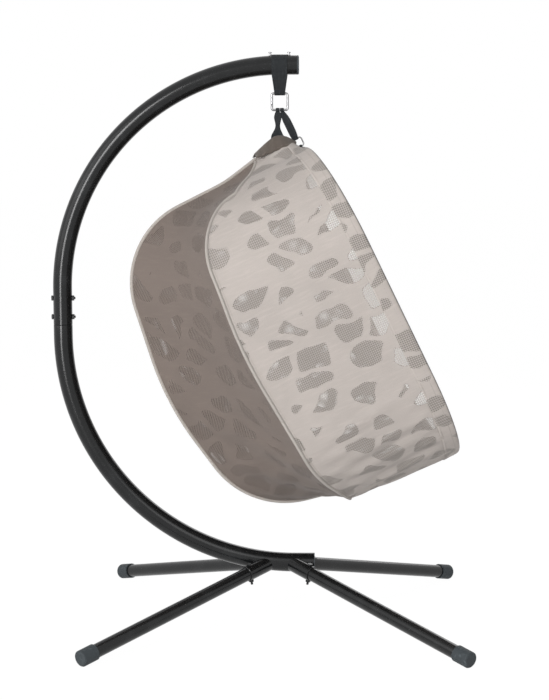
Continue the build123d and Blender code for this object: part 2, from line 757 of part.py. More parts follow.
# Back panels: one on each side of the back rib, lofted between the rib seam and the back seam
with BuildLine(middle) as rib_line:
    FilletPolyline(*rib_points(outline_length(rib_end_depth) - rib_sleeve_depth), radius=rib_rounds)
rib_wire = rib_line.wire()
rib_room = rib_piece(
    rib_sleeve_proud + panel_crown, -rib_sleeve_depth - fabric_gap, rib_sleeve_width + 2 * fabric_gap
)
with BuildPart() as back_room:
    with BuildSketch(Plane(origin=back_path @ 0, z_dir=back_path % 0)):
        Circle(back_sleeve_od / 2 + fabric_gap)
    sweep(path=back_path)
for side, sign in (("left", 1), ("right", -1)):
    with BuildPart() as back_panel:
        for index in range(panel_sections):
            share = panel_end_share + index / (panel_sections - 1) * (1 - 2 * panel_end_share)
            rib_local = middle.to_local_coords(rib_wire @ share)
            rim = in_pod(rib_local.X, rib_local.Y, sign * half_width(rib_local.X, rib_local.Y))
            spine = back_path @ share
            across = (spine - rim).normalized()
            along = ((rib_wire % share) + (back_path % share)).normalized()
            out = (across.cross(along) * sign).normalized()
            first = panel_inset
            last = (spine - rim).length - back_sleeve_od / 4
            rise = panel_end_crown + (panel_crown - panel_end_crown) * sin(radians(180 * share))
            with BuildSketch(Plane(origin=rim, x_dir=across, z_dir=across.cross(out))):
                with BuildLine():
                    outer = ThreePointArc((first, fabric), ((first + last) / 2, rise), (last, fabric))
                    inner = ThreePointArc((first, 0), ((first + last) / 2, rise - fabric), (last, 0))
                    Line(outer @ 0, inner @ 0)
                    Line(outer @ 1, inner @ 1)
                make_face()
        loft()
        add(rib_room, mode=Mode.SUBTRACT)
        add(back_room.part, mode=Mode.SUBTRACT)
    save(back_panel, f"back_panel_{side}")
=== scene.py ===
import json
from math import cos, pi, radians, sin, sqrt, tan

import bpy
import numpy as np
from mathutils import Matrix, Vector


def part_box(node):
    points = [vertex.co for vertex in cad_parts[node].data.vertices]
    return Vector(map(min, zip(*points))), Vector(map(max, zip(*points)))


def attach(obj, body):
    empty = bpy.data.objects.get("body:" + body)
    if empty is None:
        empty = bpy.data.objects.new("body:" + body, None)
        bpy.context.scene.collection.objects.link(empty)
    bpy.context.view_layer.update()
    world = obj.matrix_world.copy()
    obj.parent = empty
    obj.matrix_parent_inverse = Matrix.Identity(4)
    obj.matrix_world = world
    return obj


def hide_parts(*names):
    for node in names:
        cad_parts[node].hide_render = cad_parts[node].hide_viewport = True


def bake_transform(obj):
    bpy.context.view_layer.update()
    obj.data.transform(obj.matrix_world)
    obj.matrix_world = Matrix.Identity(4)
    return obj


bl_info = {
    "name": "Hanging Pod Chair",
    "version": (1, 0, 0),
    "blender": (4, 5, 0),
    "location": "View3D > Sidebar > Pod Chair",
    "description": "Dresses the frame of a hanging mesh chair with its cloth, webbing and finishes",
    "category": "Object",
}

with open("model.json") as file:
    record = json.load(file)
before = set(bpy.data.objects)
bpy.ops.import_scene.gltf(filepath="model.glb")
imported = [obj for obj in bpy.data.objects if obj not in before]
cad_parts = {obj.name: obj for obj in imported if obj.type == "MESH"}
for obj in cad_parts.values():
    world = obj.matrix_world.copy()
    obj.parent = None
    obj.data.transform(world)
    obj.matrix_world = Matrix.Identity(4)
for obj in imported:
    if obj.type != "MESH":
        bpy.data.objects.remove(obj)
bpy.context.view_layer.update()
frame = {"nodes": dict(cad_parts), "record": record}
JOINTS = {joint["name"]: joint for joint in frame["record"]["behaviour"]["joints"]}
HOOK_LOW = np.array(JOINTS["chair_turn"]["pos_m"])
HOOK_TOP = np.array(JOINTS["hook_swing"]["pos_m"])
TUBE_AXIS = np.array(JOINTS["hanger_sway"]["pos_m"])
CLOTH_MAP = "cloth"
# Printed mesh: size of a spot's cell, pitch of its holes and of the dense thread, and how sheer the dense weave is
SPOT_CELL, HOLE_PITCH, THREAD_PITCH, SHEER = 0.104, 0.0076, 0.0032, 0.28
UP = np.array((0.0, 0.0, 1.0))
SIDES = (("left", 1), ("right", -1))


# Sizes and colours


def length_prop(name, description, metres):
    """Property for a length."""
    return bpy.props.FloatProperty(name=name, description=description, default=metres, unit="LENGTH")


def angle_prop(name, description, degrees):
    """Property for an angle, written in degrees."""
    return bpy.props.FloatProperty(name=name, description=description, default=radians(degrees), subtype="ANGLE")


def power_prop(name, description, watts):
    """Property for a lamp's power."""
    return bpy.props.FloatProperty(name=name, description=description, default=watts, unit="POWER")


def colour_prop(name, description, rgb):
    """Property for a linear colour."""
    return bpy.props.FloatVectorProperty(name=name, description=description, default=rgb, subtype="COLOR", size=3)


class PodSizes(bpy.types.PropertyGroup):
    """Sizes of the mesh pod, from the frame that it is sewn on"""

    turn: angle_prop("Turn", "How far the pod rests turned on its hook", 9.5)
    tilt: angle_prop("Tilt", "How far the opening leans back", 26)
    ahead: length_prop("Crown ahead", "Crown's distance ahead of the hook", 0.081)
    drop: length_prop("Crown drop", "Crown's drop below the hook's lower bar", 0.1215)
    length: length_prop("Length", "Opening from crown to foot", 1.137)
    width: length_prop("Width", "Opening from side to side", 0.8)
    corner: length_prop("Corner", "Radius of the opening's corners", 0.33)
    hem: length_prop("Hem", "Width of the hem behind the rim", 0.055)
    rim: length_prop("Rim", "Radius of the padded rim", 0.0075)
    rise: length_prop("Bottom rise", "Rise of the bottom wall from the hem to the deepest point", 0.062)
    bulge: length_prop("Bulge", "Swell of the back panels", 0.03)
    cloth: length_prop("Cloth", "Thickness of the mesh cloth", 0.0012)


class ClothColours(bpy.types.PropertyGroup):
    """Colours of the cloth and webbing"""

    side: colour_prop("Side", "Dense weave of the side panels", (0.505, 0.455, 0.422))
    # The back colour is partly the cloth's own darker tone and partly painted shade of panels turned away from the
    # lamps
    back: colour_prop("Back", "Dense weave of the back panels", (0.18, 0.144, 0.124))
    spot: colour_prop("Spot", "Thread of the open spots", (0.47, 0.425, 0.39))
    piping: colour_prop("Piping", "Plain binding along the seams", (0.45, 0.41, 0.375))
    crown: colour_prop("Crown", "Plain cloth of the crown tab", (0.109, 0.087, 0.071))
    webbing: colour_prop("Webbing", "Straps and hanging loop", (0.0092, 0.0108, 0.0122))


class StandSizes(bpy.types.PropertyGroup):
    """Sizes of the stand's tubes, the same as the frame's"""

    tube: length_prop("Arch tube", "Radius of the arch tubes", 0.03175)
    upper_bend: length_prop("Upper bend", "Bend radius of the upper arch tube", 0.74)
    lower_bend: length_prop("Lower bend", "Bend radius of the lower arch tube", 0.775)
    joint: length_prop("Joint", "Height of the arch joint", 1.008)
    hub: length_prop("Hub", "Height of the level end of the arch", 0.196)
    neck: length_prop("Neck", "Radius inside the joint's groove", 0.0295)
    leg: length_prop("Leg", "Radius of the leg tubes", 0.0225)
    leg_span: length_prop("Leg span", "Level reach of a leg from the hub", 0.841)
    leg_offset: length_prop("Leg offset", "Where the legs leave the hub, from its middle", 0.032)
    leg_angle: angle_prop("Leg angle", "Legs' turn away from the arch", 47)
    foot: length_prop("Foot", "Height of a leg's axis at its foot", 0.0235)
    socket: length_prop("Socket", "Radius of the leg sockets", 0.0255)
    socket_end: length_prop("Socket end", "Reach of a socket along its leg", 0.118)


class StandColours(bpy.types.PropertyGroup):
    """Colours of the stand and fittings"""

    coat: colour_prop("Powder coat", "Tubes and fasteners", (0.006, 0.0065, 0.007))
    rubber: colour_prop("Rubber", "Foot caps", (0.043, 0.051, 0.056))
    bright: colour_prop("Bright steel", "Hook, ring and stop bolts", (0.34, 0.34, 0.345))


class StageSettings(bpy.types.PropertyGroup):
    """Camera, lamps and floor"""

    lens: bpy.props.FloatProperty(name="Lens", description="Focal length", default=101.4, unit="CAMERA")
    camera: bpy.props.FloatVectorProperty(
        name="Camera", description="Camera's place from the middle of the base", default=(0.1907, -6.5629, 1.6530)
    )
    yaw: angle_prop("Yaw", "Camera's turn to the left", 1.8)
    pitch: angle_prop("Pitch", "Camera's dip below level", 6.374)
    roll: angle_prop("Roll", "Camera's lean", -0.289)
    key: power_prop("Key lamp", "Power of the main lamp", 38.0)
    strip: power_prop("Strip lamp", "Power of the tall lamp that draws a line on the tubes", 255.0)
    fill: power_prop("Fill lamp", "Power of the side lamp", 46.0)
    sky: bpy.props.FloatProperty(name="Sky", description="Strength of the even light", default=0.4)


# Meshes on grids


def unit(vectors):
    """Vectors of length one along the last axis."""
    return vectors / np.maximum(np.linalg.norm(vectors, axis=-1, keepdims=True), 1e-12)


def smooth(low, high, value):
    """Smooth step from 0 at low to 1 at high: 3k^2 - 2k^3 of the clamped share k."""
    k = np.clip((value - low) / (high - low), 0, 1)
    return k * k * (3 - 2 * k)


def lay_grid(name, points, chart, wrap=(False, False), caps=False):
    """Mesh of quads on a grid of points, with a cloth chart in metres; a wrapped way closes on itself."""
    rows, cols = points.shape[:2]
    i, j = np.meshgrid(np.arange(rows - (not wrap[0])), np.arange(cols - (not wrap[1])), indexing="ij")
    ci = np.stack([i, i + 1, i + 1, i], -1).reshape(-1, 4)
    cj = np.stack([j, j, j + 1, j + 1], -1).reshape(-1, 4)
    loops = ((ci % rows) * cols + cj % cols).ravel()
    chart_at = chart[ci, cj].reshape(-1, 2)
    totals = np.full(len(ci), 4)
    if caps:
        ends = np.concatenate([np.arange(cols), (rows - 1) * cols + np.arange(cols)[::-1]])
        loops = np.concatenate([loops, ends])
        chart_at = np.concatenate([chart_at, np.zeros((2 * cols, 2))])
        totals = np.concatenate([totals, [cols, cols]])
    mesh = bpy.data.meshes.new(name)
    mesh.vertices.add(rows * cols)
    mesh.vertices.foreach_set("co", points.reshape(-1).astype(np.float32))
    mesh.loops.add(len(loops))
    mesh.loops.foreach_set("vertex_index", loops.astype(np.int32))
    mesh.polygons.add(len(totals))
    mesh.polygons.foreach_set("loop_start", np.concatenate([[0], np.cumsum(totals)[:-1]]).astype(np.int32))
    mesh.polygons.foreach_set("loop_total", totals.astype(np.int32))
    mesh.polygons.foreach_set("use_smooth", np.arange(len(totals)) < len(ci))
    mesh.uv_layers.new(name=CLOTH_MAP)
    mesh.uv_layers[CLOTH_MAP].data.foreach_set("uv", chart_at.ravel().astype(np.float32))
    mesh.update(calc_edges=True)
    mesh.validate()
    if caps:
        mesh.set_sharp_from_angle(angle=radians(35))
    return mesh


def place(name, mesh, material):
    """Object at the origin for a finished mesh."""
    mesh.name = name
    mesh.materials.append(material)
    piece = bpy.data.objects.new(name, mesh)
    bpy.context.scene.collection.objects.link(piece)
    return piece


def join_meshes(name, meshes):
    """One mesh from several, each with the same cloth chart."""
    made = [bpy.data.objects.new(name, mesh) for mesh in meshes]
    for each in made:
        bpy.context.scene.collection.objects.link(each)
    with bpy.context.temp_override(active_object=made[0], selected_editable_objects=made, object=made[0]):
        bpy.ops.object.join()
    mesh = made[0].data
    bpy.data.objects.remove(made[0])
    return mesh


def thicken(piece, thickness, shaded_inside=None):
    """Give a sheet its thickness, half to each side, and on its inner face a second material, here a darker copy of the
    cloth that paints the shade inside the pod.
    """
    solid = piece.modifiers.new("thickness", "SOLIDIFY")
    solid.thickness = thickness
    solid.offset = 0
    solid.use_rim = True
    if shaded_inside:
        piece.data.materials.append(shaded_inside)
        solid.material_offset = 1


def carry(path, profile, side, lift, wrap=False, caps=False, name="band"):
    """A closed profile carried along a path: each point is path + x * side + y * lift, with x and y from the profile.
    The profile is taken the other way round where side, lift and travel are left-handed, so faces point outwards."""
    travel = np.diff(path[:2], axis=0)[0]
    if np.cross(travel, lift[0]) @ side[0] < 0:
        profile = profile[..., ::-1, :]
    points = path[:, None] + profile[..., :1] * side[:, None] + profile[..., 1:] * lift[:, None]
    steps = np.linalg.norm(np.diff(path, axis=0, append=path[:1]), axis=1)
    along = np.concatenate([[0], np.cumsum(steps)])[: len(path) + wrap]
    flat = profile if profile.ndim == 3 else np.broadcast_to(profile, (len(path), *profile.shape))
    girth = np.linalg.norm(np.diff(flat[0], axis=0, append=flat[0][:1]), axis=1)
    around = np.concatenate([[0], np.cumsum(girth)])
    chart = np.stack(np.meshgrid(along, around, indexing="ij"), -1)
    return lay_grid(name, points, chart, (wrap, True), caps)


def round_profile(radius, count=16):
    """Circle of a given radius."""
    a = np.linspace(0, 2 * pi, count, endpoint=False)
    return radius * np.stack([np.cos(a), np.sin(a)], -1)


def flat_profile(width, thickness, count=24):
    """Flat band with soft edges, a superellipse: half the width times cos^k and half the thickness times sin^k."""
    k = 0.3
    a = np.linspace(0, 2 * pi, count, endpoint=False) + pi / count
    c, s = np.cos(a), np.sin(a)
    width = np.asarray(width)[..., None]
    across = width / 2 * np.sign(c) * np.abs(c) ** k + 0 * s
    return np.stack([across, thickness / 2 * np.sign(s) * np.abs(s) ** k + 0 * width], -1)


def fillet_path(corners, rounds, count, arc_steps=24):
    """Evenly spaced points along straight runs that are joined by tangent arcs of the given radii."""
    corners = np.asarray(corners, float)
    pieces = [corners[:1]]
    share = np.linspace(0, 1, arc_steps)[:, None]
    for before, corner, after, radius in zip(corners[:-2], corners[1:-1], corners[2:], rounds):
        back, on = unit(before - corner), unit(after - corner)
        half = np.arccos(np.clip(back @ on, -1, 1)) / 2
        centre = corner + unit(back + on) * radius / sin(half)
        first = corner + back * radius / tan(half) - centre
        last = corner + on * radius / tan(half) - centre
        swing = pi - 2 * half
        pieces.append(centre + (np.sin((1 - share) * swing) * first + np.sin(share * swing) * last) / sin(swing))
    dense = np.concatenate([*pieces, corners[-1:]])
    return even(dense, count)


def even(points, count):
    """The same line with evenly spaced points."""
    length = np.concatenate([[0], np.cumsum(np.linalg.norm(np.diff(points, axis=0), axis=1))])
    at = np.linspace(0, length[-1], count)
    return np.stack([np.interp(at, length, points[:, k]) for k in range(points.shape[1])], -1)


def ways(path):
    """Unit way of travel at each point of an open path."""
    return unit(np.gradient(path, axis=0))


# The pod's own frame: drop below the crown, depth behind the opening, distance to one side


class Pod:
    """Shape of the pod worked out from its sizes."""

    # Seams seen from the side, as corners of (drop, depth) and the radii that round them
    rib_corners = ((0.022, 0.148), (0.022, 0.468), (0.47, 0.515), (0.93, 0.48), (1.137, 0.374))
    rib_rounds = (0.2, 1.5, 0.35)
    back_corners = ((-0.036, 0.162), (-0.011, 0.29), (-0.009, 0.705), (0.56, 0.789), (1.022, 0.707), (1.088, 0.424))
    back_rounds = (0.4, 0.28, 1.0, 0.3)
    # Cloth drawn up to the crown tab: depth and height of the ridge, and how far to each side it reaches
    tent_depths = (0.012, 0.03, 0.045, 0.072, 0.112, 0.16, 0.235, 0.336, 0.46)
    tent_heights = (0.0, 0.038, 0.054, 0.066, 0.056, 0.04, 0.022, 0.012, 0.0)
    tent_reach = 0.11
    # Depth at which the seam of the side panel starts under the crown tab, and at which it joins the rib
    crown_start, rib_leave = 0.16, 0.285

    def __init__(self, sizes):
        self.sizes = sizes
        ahead = np.array((cos(sizes.turn), sin(sizes.turn), 0))
        self.down = ahead * sin(sizes.tilt) - UP * cos(sizes.tilt)
        self.behind = -ahead * cos(sizes.tilt) - UP * sin(sizes.tilt)
        self.across = np.cross(self.down, self.behind)
        self.crown = HOOK_LOW - UP * sizes.drop + ahead * sizes.ahead
        self.flat = sizes.width / 2 - sizes.corner
        self.half_girth = self.girth(0.0)

    def at(self, drop, depth, side):
        """World points from the pod's own measures."""
        drop, depth, side = np.broadcast_arrays(drop, depth, side)
        return (
            self.crown + drop[..., None] * self.down + depth[..., None] * self.behind + side[..., None] * self.across
        )

    def length(self, depth):
        """Length of the outline at a depth: the bottom wall rises evenly behind the hem."""
        deepest = self.back_corners[3][1]
        return self.sizes.length - self.sizes.rise * np.maximum(depth - self.sizes.hem, 0) / (deepest - self.sizes.hem)

    def girth(self, depth):
        """Run of half the outline at a depth, from crown to foot."""
        return 2 * self.flat + pi * self.sizes.corner + self.length(depth) - 2 * self.sizes.corner

    def outline(self, share, depth=0.0):
        """Half of the outline at a depth: flat, quarter arc, side, quarter arc, flat. Gives drop, side and normal."""
        share, depth = np.broadcast_arrays(np.asarray(share, float), depth)
        corner, girth = self.sizes.corner, self.girth(depth)
        run = share * girth
        quarter = corner * pi / 2
        side_run = self.length(depth) - 2 * corner
        upper = np.clip((run - self.flat) / quarter, 0, 1) * pi / 2
        lower = np.clip((run - self.flat - quarter - side_run) / quarter, 0, 1) * pi / 2
        drop = corner * (1 - np.cos(upper)) + np.clip(run - self.flat - quarter, 0, side_run) + corner * np.sin(lower)
        side = np.clip(run, 0, self.flat) + corner * (np.sin(upper) - 1 + np.cos(lower))
        side = side - np.clip(run - girth + self.flat, 0, self.flat)
        return drop, side, np.stack([-np.cos(upper + lower), np.sin(upper + lower)], -1)

    def tent(self, depth, side):
        """Height that the cloth is drawn up near the crown: the ridge's height, falling away to each side."""
        near = np.clip(1 - np.abs(side) / self.tent_reach, 0, 1)
        return np.interp(depth, self.tent_depths, self.tent_heights) * near**1.5

    def seam_depth(self, share):
        """Depth of the seam between side and back panel: out from the crown tab, then along the side rib."""
        rib = fillet_path(self.rib_corners, self.rib_rounds, 400)
        rib = rib[rib[:, 1] >= self.rib_leave - 0.02]
        first = rib[np.argmax(rib[:, 0] > self.rib_corners[0][0] + 1e-4)]
        table = np.linspace(0, 0.5, 1000)
        lead = np.interp(first[0], self.outline(table)[0], self.outline(table)[1])
        depth = np.full(np.shape(share), first[1])
        for _ in range(6):
            drop, side, _ = self.outline(share, depth)
            ease = np.clip(side / lead, 0, 1) ** 1.15
            crown = self.crown_start + (first[1] - self.crown_start) * ease
            depth = np.where((drop < first[0]) & (share < 0.5), crown, np.interp(drop, rib[:, 0], rib[:, 1]))
        return depth

    def seam(self, share, sign):
        """Points of that seam on one side of the pod."""
        depth = self.seam_depth(share)
        drop, side, _ = self.outline(share, depth)
        lift = self.tent(depth, side) * (share < 0.5)
        return self.at(drop - lift, depth, sign * side)

    def wall(self, half, sign, depth, lift):
        """Points on the wall at a share of one half, a depth and a lift off the wall, with the outward way there."""
        drop, side, normal = self.outline(half, depth)
        drawn = self.tent(depth, side) * (half < 0.5)
        points = self.at(drop + lift * normal[..., 0] - drawn, depth, sign * (side + lift * normal[..., 1]))
        out = normal[..., :1] * self.down + (sign * normal[..., 1])[..., None] * self.across
        return points, out

    def back_line(self, count):
        """Middle seam of the back as drop and depth."""
        return fillet_path(self.back_corners, self.back_rounds, count)


def the_pod():
    """Pod from the scene's sizes."""
    return Pod(bpy.context.scene.pod_sizes)


# Materials


class Shade:
    """Node tree of one finish, with a short way to add nodes and link them."""

    def __init__(self, name):
        self.material = bpy.data.materials.new(name)
        self.material.use_nodes = True
        self.tree = self.material.node_tree
        self.surface = self.tree.nodes["Principled BSDF"]

    def node(self, kind, *values, **settings):
        """Add a node; values go to its inputs in order, sockets are linked and None is left alone."""
        made = self.tree.nodes.new(kind)
        for key, value in settings.items():
            setattr(made, key, value)
        for socket, value in zip(made.inputs, values):
            self.set(socket, value)
        return made

    def set(self, socket, value):
        """Link a socket or set its value."""
        if value is None:
            return
        if isinstance(value, bpy.types.NodeSocket):
            self.tree.links.new(value, socket)
        elif hasattr(value, "__len__") and len(value) == 3 and socket.type == "RGBA":
            socket.default_value = (*value, 1.0)
        else:
            socket.default_value = value

    def math(self, operation, *values):
        """Math node's result."""
        return self.node("ShaderNodeMath", *values, operation=operation).outputs[0]

    def vector(self, operation, *values):
        """Vector math node's result."""
        return self.node("ShaderNodeVectorMath", *values, operation=operation).outputs[0]

    def object_place(self):
        """Place on the object, in metres."""
        return self.node("ShaderNodeTexCoord").outputs["Object"]

    def wave(self, value, pitch):
        """Sine wave with one period to each pitch."""
        return self.math("SINE", self.math("MULTIPLY", value, 2 * pi / pitch))

    def step(self, low, high, value):
        """Smooth step of a value between two limits."""
        made = self.node("ShaderNodeMapRange", value, low, high, interpolation_type="SMOOTHSTEP")
        return made.outputs[0]

    def mix(self, share, first, second):
        """Colour mix."""
        made = self.node("ShaderNodeMix", data_type="RGBA")
        self.set(made.inputs[0], share)
        self.set(made.inputs[6], first)
        self.set(made.inputs[7], second)
        return made.outputs[2]

    def noise(self, vector, scale, detail=2.0):
        """Noise texture's value."""
        made = self.node("ShaderNodeTexNoise")
        self.set(made.inputs["Vector"], vector)
        made.inputs["Scale"].default_value = scale
        made.inputs["Detail"].default_value = detail
        return made.outputs[0]

    def bump(self, height, strength, distance):
        """Bump from a height, on the surface's normal."""
        made = self.node("ShaderNodeBump")
        made.inputs["Strength"].default_value = strength
        made.inputs["Distance"].default_value = distance
        self.set(made.inputs["Height"], height)
        self.tree.links.new(made.outputs[0], self.surface.inputs["Normal"])

    def put(self, **sockets):
        """Set or link the surface's sockets, with underscores for spaces."""
        for name, value in sockets.items():
            self.set(self.surface.inputs[name.replace("_", " ")], value)
        return self.material


def tint(colour, share):
    """Colour made darker or lighter by a share."""
    return [min(1, c * share) for c in colour]


def cloth_chart(shade):
    """The cloth's own chart in metres, and its two ways."""
    chart = shade.node("ShaderNodeUVMap", uv_map=CLOTH_MAP).outputs[0]
    split = shade.node("ShaderNodeSeparateXYZ", chart)
    return chart, split.outputs[0], split.outputs[1]


def spots(shade, chart, cell, seed):
    """Share of open weave: rounded pebbles, each a warped Voronoi cell inset by its own amount and cut by a circle."""
    drift = shade.vector("ADD", chart, (seed, seed * 0.7, 0))
    warp = shade.node("ShaderNodeTexNoise")
    shade.set(warp.inputs["Vector"], drift)
    warp.inputs["Scale"].default_value = 0.9 / cell
    warp.inputs["Detail"].default_value = 1.5
    pull = shade.vector("SUBTRACT", warp.outputs[1], (0.5, 0.5, 0.5))
    pull = shade.node("ShaderNodeVectorMath", pull, operation="SCALE")
    pull.inputs["Scale"].default_value = cell * 0.9
    bent = shade.vector("ADD", drift, pull.outputs[0])
    stretched = shade.vector("MULTIPLY", bent, (1.2, 0.85, 1))
    edge = shade.node("ShaderNodeTexVoronoi", feature="DISTANCE_TO_EDGE", voronoi_dimensions="2D")
    inner = shade.node("ShaderNodeTexVoronoi", feature="F1", voronoi_dimensions="2D")
    for texture in (edge, inner):
        shade.set(texture.inputs["Vector"], stretched)
        texture.inputs["Scale"].default_value = 1 / cell
        texture.inputs["Randomness"].default_value = 0.85
    chance = shade.node("ShaderNodeSeparateColor", inner.outputs["Color"]).outputs[0]
    inset = shade.math("MULTIPLY_ADD", shade.math("POWER", chance, 3.0), 0.32, 0.07)
    reach = shade.math("MULTIPLY_ADD", chance, -0.16, 0.52)
    depth = shade.math("SUBTRACT", edge.outputs["Distance"], inset)
    bound = shade.math("SUBTRACT", reach, inner.outputs["Distance"])
    return shade.step(0.0, 0.06, shade.math("SMOOTH_MIN", depth, bound, 0.12))


def weave_holes(shade, across, along, start=0.1):
    """Share of hole in the open weave: staggered holes where two waves are both up or both down."""
    crossed = shade.math("MULTIPLY", shade.wave(across, HOLE_PITCH), shade.wave(along, HOLE_PITCH))
    return shade.step(start, 0.35, crossed)


def mesh_cloth(name, dense, thread, seed, dots=0.42, faint=0.0, doubled=0.0):
    """Printed mesh: a dense, slightly sheer weave with open spots, some fainter, painted shade in the weave's low
    points and round each hole, and painted sheen in light streaks. Doubled layers have darker dots of painted shade
    in place of holes, and a dark edge line of painted shade where their chart reaches the given place."""
    shade = Shade(name)
    chart, across, along = cloth_chart(shade)
    strength = shade.math("MULTIPLY_ADD", shade.step(0.38, 0.56, shade.noise(chart, 3.2, 1.0)), faint, 1 - faint)
    spot = shade.math("MULTIPLY", spots(shade, chart, SPOT_CELL, seed), strength)
    hole = shade.math("MULTIPLY", spot, weave_holes(shade, across, along))
    cloud = shade.step(0.35, 0.65, shade.noise(chart, 6.0, 5.0))
    weave = shade.math("MULTIPLY", shade.wave(across, THREAD_PITCH), shade.wave(along, THREAD_PITCH))
    body = shade.mix(cloud, tint(dense, 0.92), tint(dense, 1.05))
    # Darker where the weave is low: painted shade in the grooves between threads
    body = shade.mix(shade.step(-0.6, 0.9, weave), tint(dense, 0.88), body)
    # Light streaks drawn out along the fibres: painted sheen
    drawn = shade.vector("MULTIPLY", chart, (120.0, 14.0, 1.0))
    painted_sheen_streak = shade.math("MULTIPLY", shade.step(0.45, 0.75, shade.noise(drawn, 1.0, 3.0)), 0.3)
    body = shade.mix(painted_sheen_streak, body, tint(dense, 1.16))
    # Dark rings round each hole: painted shade seen through the weave
    painted_hole_shade = shade.math("MULTIPLY", spot, weave_holes(shade, across, along, -0.3))
    colour = shade.mix(shade.math("MULTIPLY", spot, 0.85), body, thread)
    colour = shade.mix(painted_hole_shade, colour, tint(thread, dots))
    # A doubled layer gets dark dots in place of its holes: painted shade of the gap between its layers
    if doubled:
        colour = shade.mix(hole, colour, tint(thread, 0.3))
        # Dark line of painted shade where the chart reaches the rim's outer edge
        line = shade.math("COMPARE", along, doubled, 0.006)
        colour = shade.mix(line, colour, tint(dense, 0.22))
    height = shade.math("SUBTRACT", shade.math("MULTIPLY", weave, 0.3), hole)
    shade.bump(height, 0.35, 0.0006)
    shade.put(Base_Color=colour, Roughness=0.82, Sheen_Weight=0.12, Sheen_Roughness=0.5)
    if not doubled:
        sheer = shade.math("MULTIPLY", shade.step(0.2, 0.8, weave), SHEER)
        gone = shade.math("MAXIMUM", hole, shade.math("MULTIPLY", sheer, shade.math("SUBTRACT", 1.0, spot)))
        shade.put(Alpha=shade.math("SUBTRACT", 1.0, gone))
    return shade.material


def plain_cloth(name, colour, pitch=0.0016):
    """Plain woven cloth: two crossed waves of thread, painted shade where they are low, and a soft cloudiness."""
    shade = Shade(name)
    chart, across, along = cloth_chart(shade)
    weave = shade.math("MULTIPLY", shade.wave(across, pitch), shade.wave(along, pitch))
    tone = shade.mix(shade.noise(chart, 28.0, 5.0), tint(colour, 0.88), tint(colour, 1.12))
    # Darker where the weave is low: painted shade in the grooves between threads
    tone = shade.mix(shade.step(-1, 1, weave), tint(colour, 0.8), tone)
    shade.bump(weave, 0.4, 0.0004)
    return shade.put(Base_Color=tone, Roughness=0.85, Sheen_Weight=0.2, Sheen_Roughness=0.5)


def woven_webbing(name, colour):
    """Flat nylon webbing: ribs across the band and a herringbone of threads, painted lighter on their tops and darker
    in their grooves.
    """
    shade = Shade(name)
    chart, along, around = cloth_chart(shade)
    rib = shade.wave(along, 0.0022)
    slant = shade.math("MULTIPLY_ADD", shade.math("PINGPONG", around, 0.006), 1.5, along)
    twill = shade.wave(slant, 0.003)
    height = shade.math("MULTIPLY_ADD", rib, 0.4, twill)
    # Lighter on the raised threads and darker in the grooves: painted highlight and painted shade of the weave's relief
    tone = shade.mix(shade.step(-1, 1, height), tint(colour, 0.7), tint(colour, 2.0))
    tone = shade.mix(shade.step(0.45, 0.7, shade.noise(chart, 60.0, 4.0)), tone, tint(colour, 1.8))
    shade.bump(height, 0.5, 0.0005)
    return shade.put(Base_Color=tone, Roughness=0.6, Specular_IOR_Level=0.25)


def sewing_thread(name, colour):
    """Twisted thread: fine slanting plies over a soft tone change."""
    shade = Shade(name)
    place_at = shade.object_place()
    tone = shade.mix(shade.noise(place_at, 90.0, 3.0), tint(colour, 0.8), tint(colour, 1.2))
    shade.bump(shade.noise(place_at, 2200.0, 1.0), 0.3, 0.0002)
    return shade.put(Base_Color=tone, Roughness=0.7, Sheen_Weight=0.15)


def powder_coat(name, colour, roughness=0.2, grain=900.0):
    """Black powder coat: fine orange peel, faint wear and dust."""
    shade = Shade(name)
    place_at = shade.object_place()
    peel = shade.noise(place_at, grain, 2.0)
    dust = shade.step(0.5, 0.75, shade.noise(place_at, 14.0, 6.0))
    tone = shade.mix(dust, colour, [c * 1.9 + 0.002 for c in colour])
    gloss = shade.math("MULTIPLY_ADD", shade.noise(place_at, 40.0, 5.0), 0.12, roughness - 0.06)
    shade.bump(peel, 0.03, 0.0005)
    return shade.put(Base_Color=tone, Roughness=gloss, Specular_IOR_Level=0.33)


def moulded_rubber(name, colour, roughness=0.62):
    """Moulded rubber or plastic: fine grain, scuffs on the outside."""
    shade = Shade(name)
    place_at = shade.object_place()
    grain = shade.noise(place_at, 700.0, 3.0)
    scuff = shade.step(0.55, 0.8, shade.noise(place_at, 60.0, 8.0))
    tone = shade.mix(scuff, colour, [c * 2.2 + 0.004 for c in colour])
    shade.bump(grain, 0.2, 0.0006)
    rough = shade.math("MULTIPLY_ADD", scuff, 0.15, roughness)
    return shade.put(Base_Color=tone, Roughness=rough, Specular_IOR_Level=0.25)


def plated_steel(name, colour, roughness=0.24):
    """Plated steel: long draw marks and small clouding."""
    shade = Shade(name)
    place_at = shade.object_place()
    drawn = shade.vector("MULTIPLY", place_at, (400, 400, 40))
    marks = shade.noise(drawn, 4.0, 4.0)
    cloud = shade.noise(place_at, 120.0, 3.0)
    tone = shade.mix(cloud, tint(colour, 0.8), colour)
    rough = shade.math("MULTIPLY_ADD", marks, 0.2, roughness - 0.08)
    shade.bump(marks, 0.06, 0.0003)
    return shade.put(Base_Color=tone, Roughness=rough, Metallic=1.0)


def seat(piece, slot, *nodes, body=None):
    """Say which body carries a piece and hide the CAD nodes it stands for; slot, the name of its finish, is not used.
    """
    if body:
        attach(piece, body)
    if nodes:
        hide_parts(*nodes)


def dress(material, *nodes):
    """Give CAD nodes a finish."""
    for node in nodes:
        mesh = frame["nodes"][node].data
        mesh.materials.clear()
        mesh.materials.append(material)


def nodes_named(*starts):
    """CAD nodes whose names start with one of the words."""
    return [name for name in frame["nodes"] if name.startswith(starts)]


# Operators, one for each group of pieces


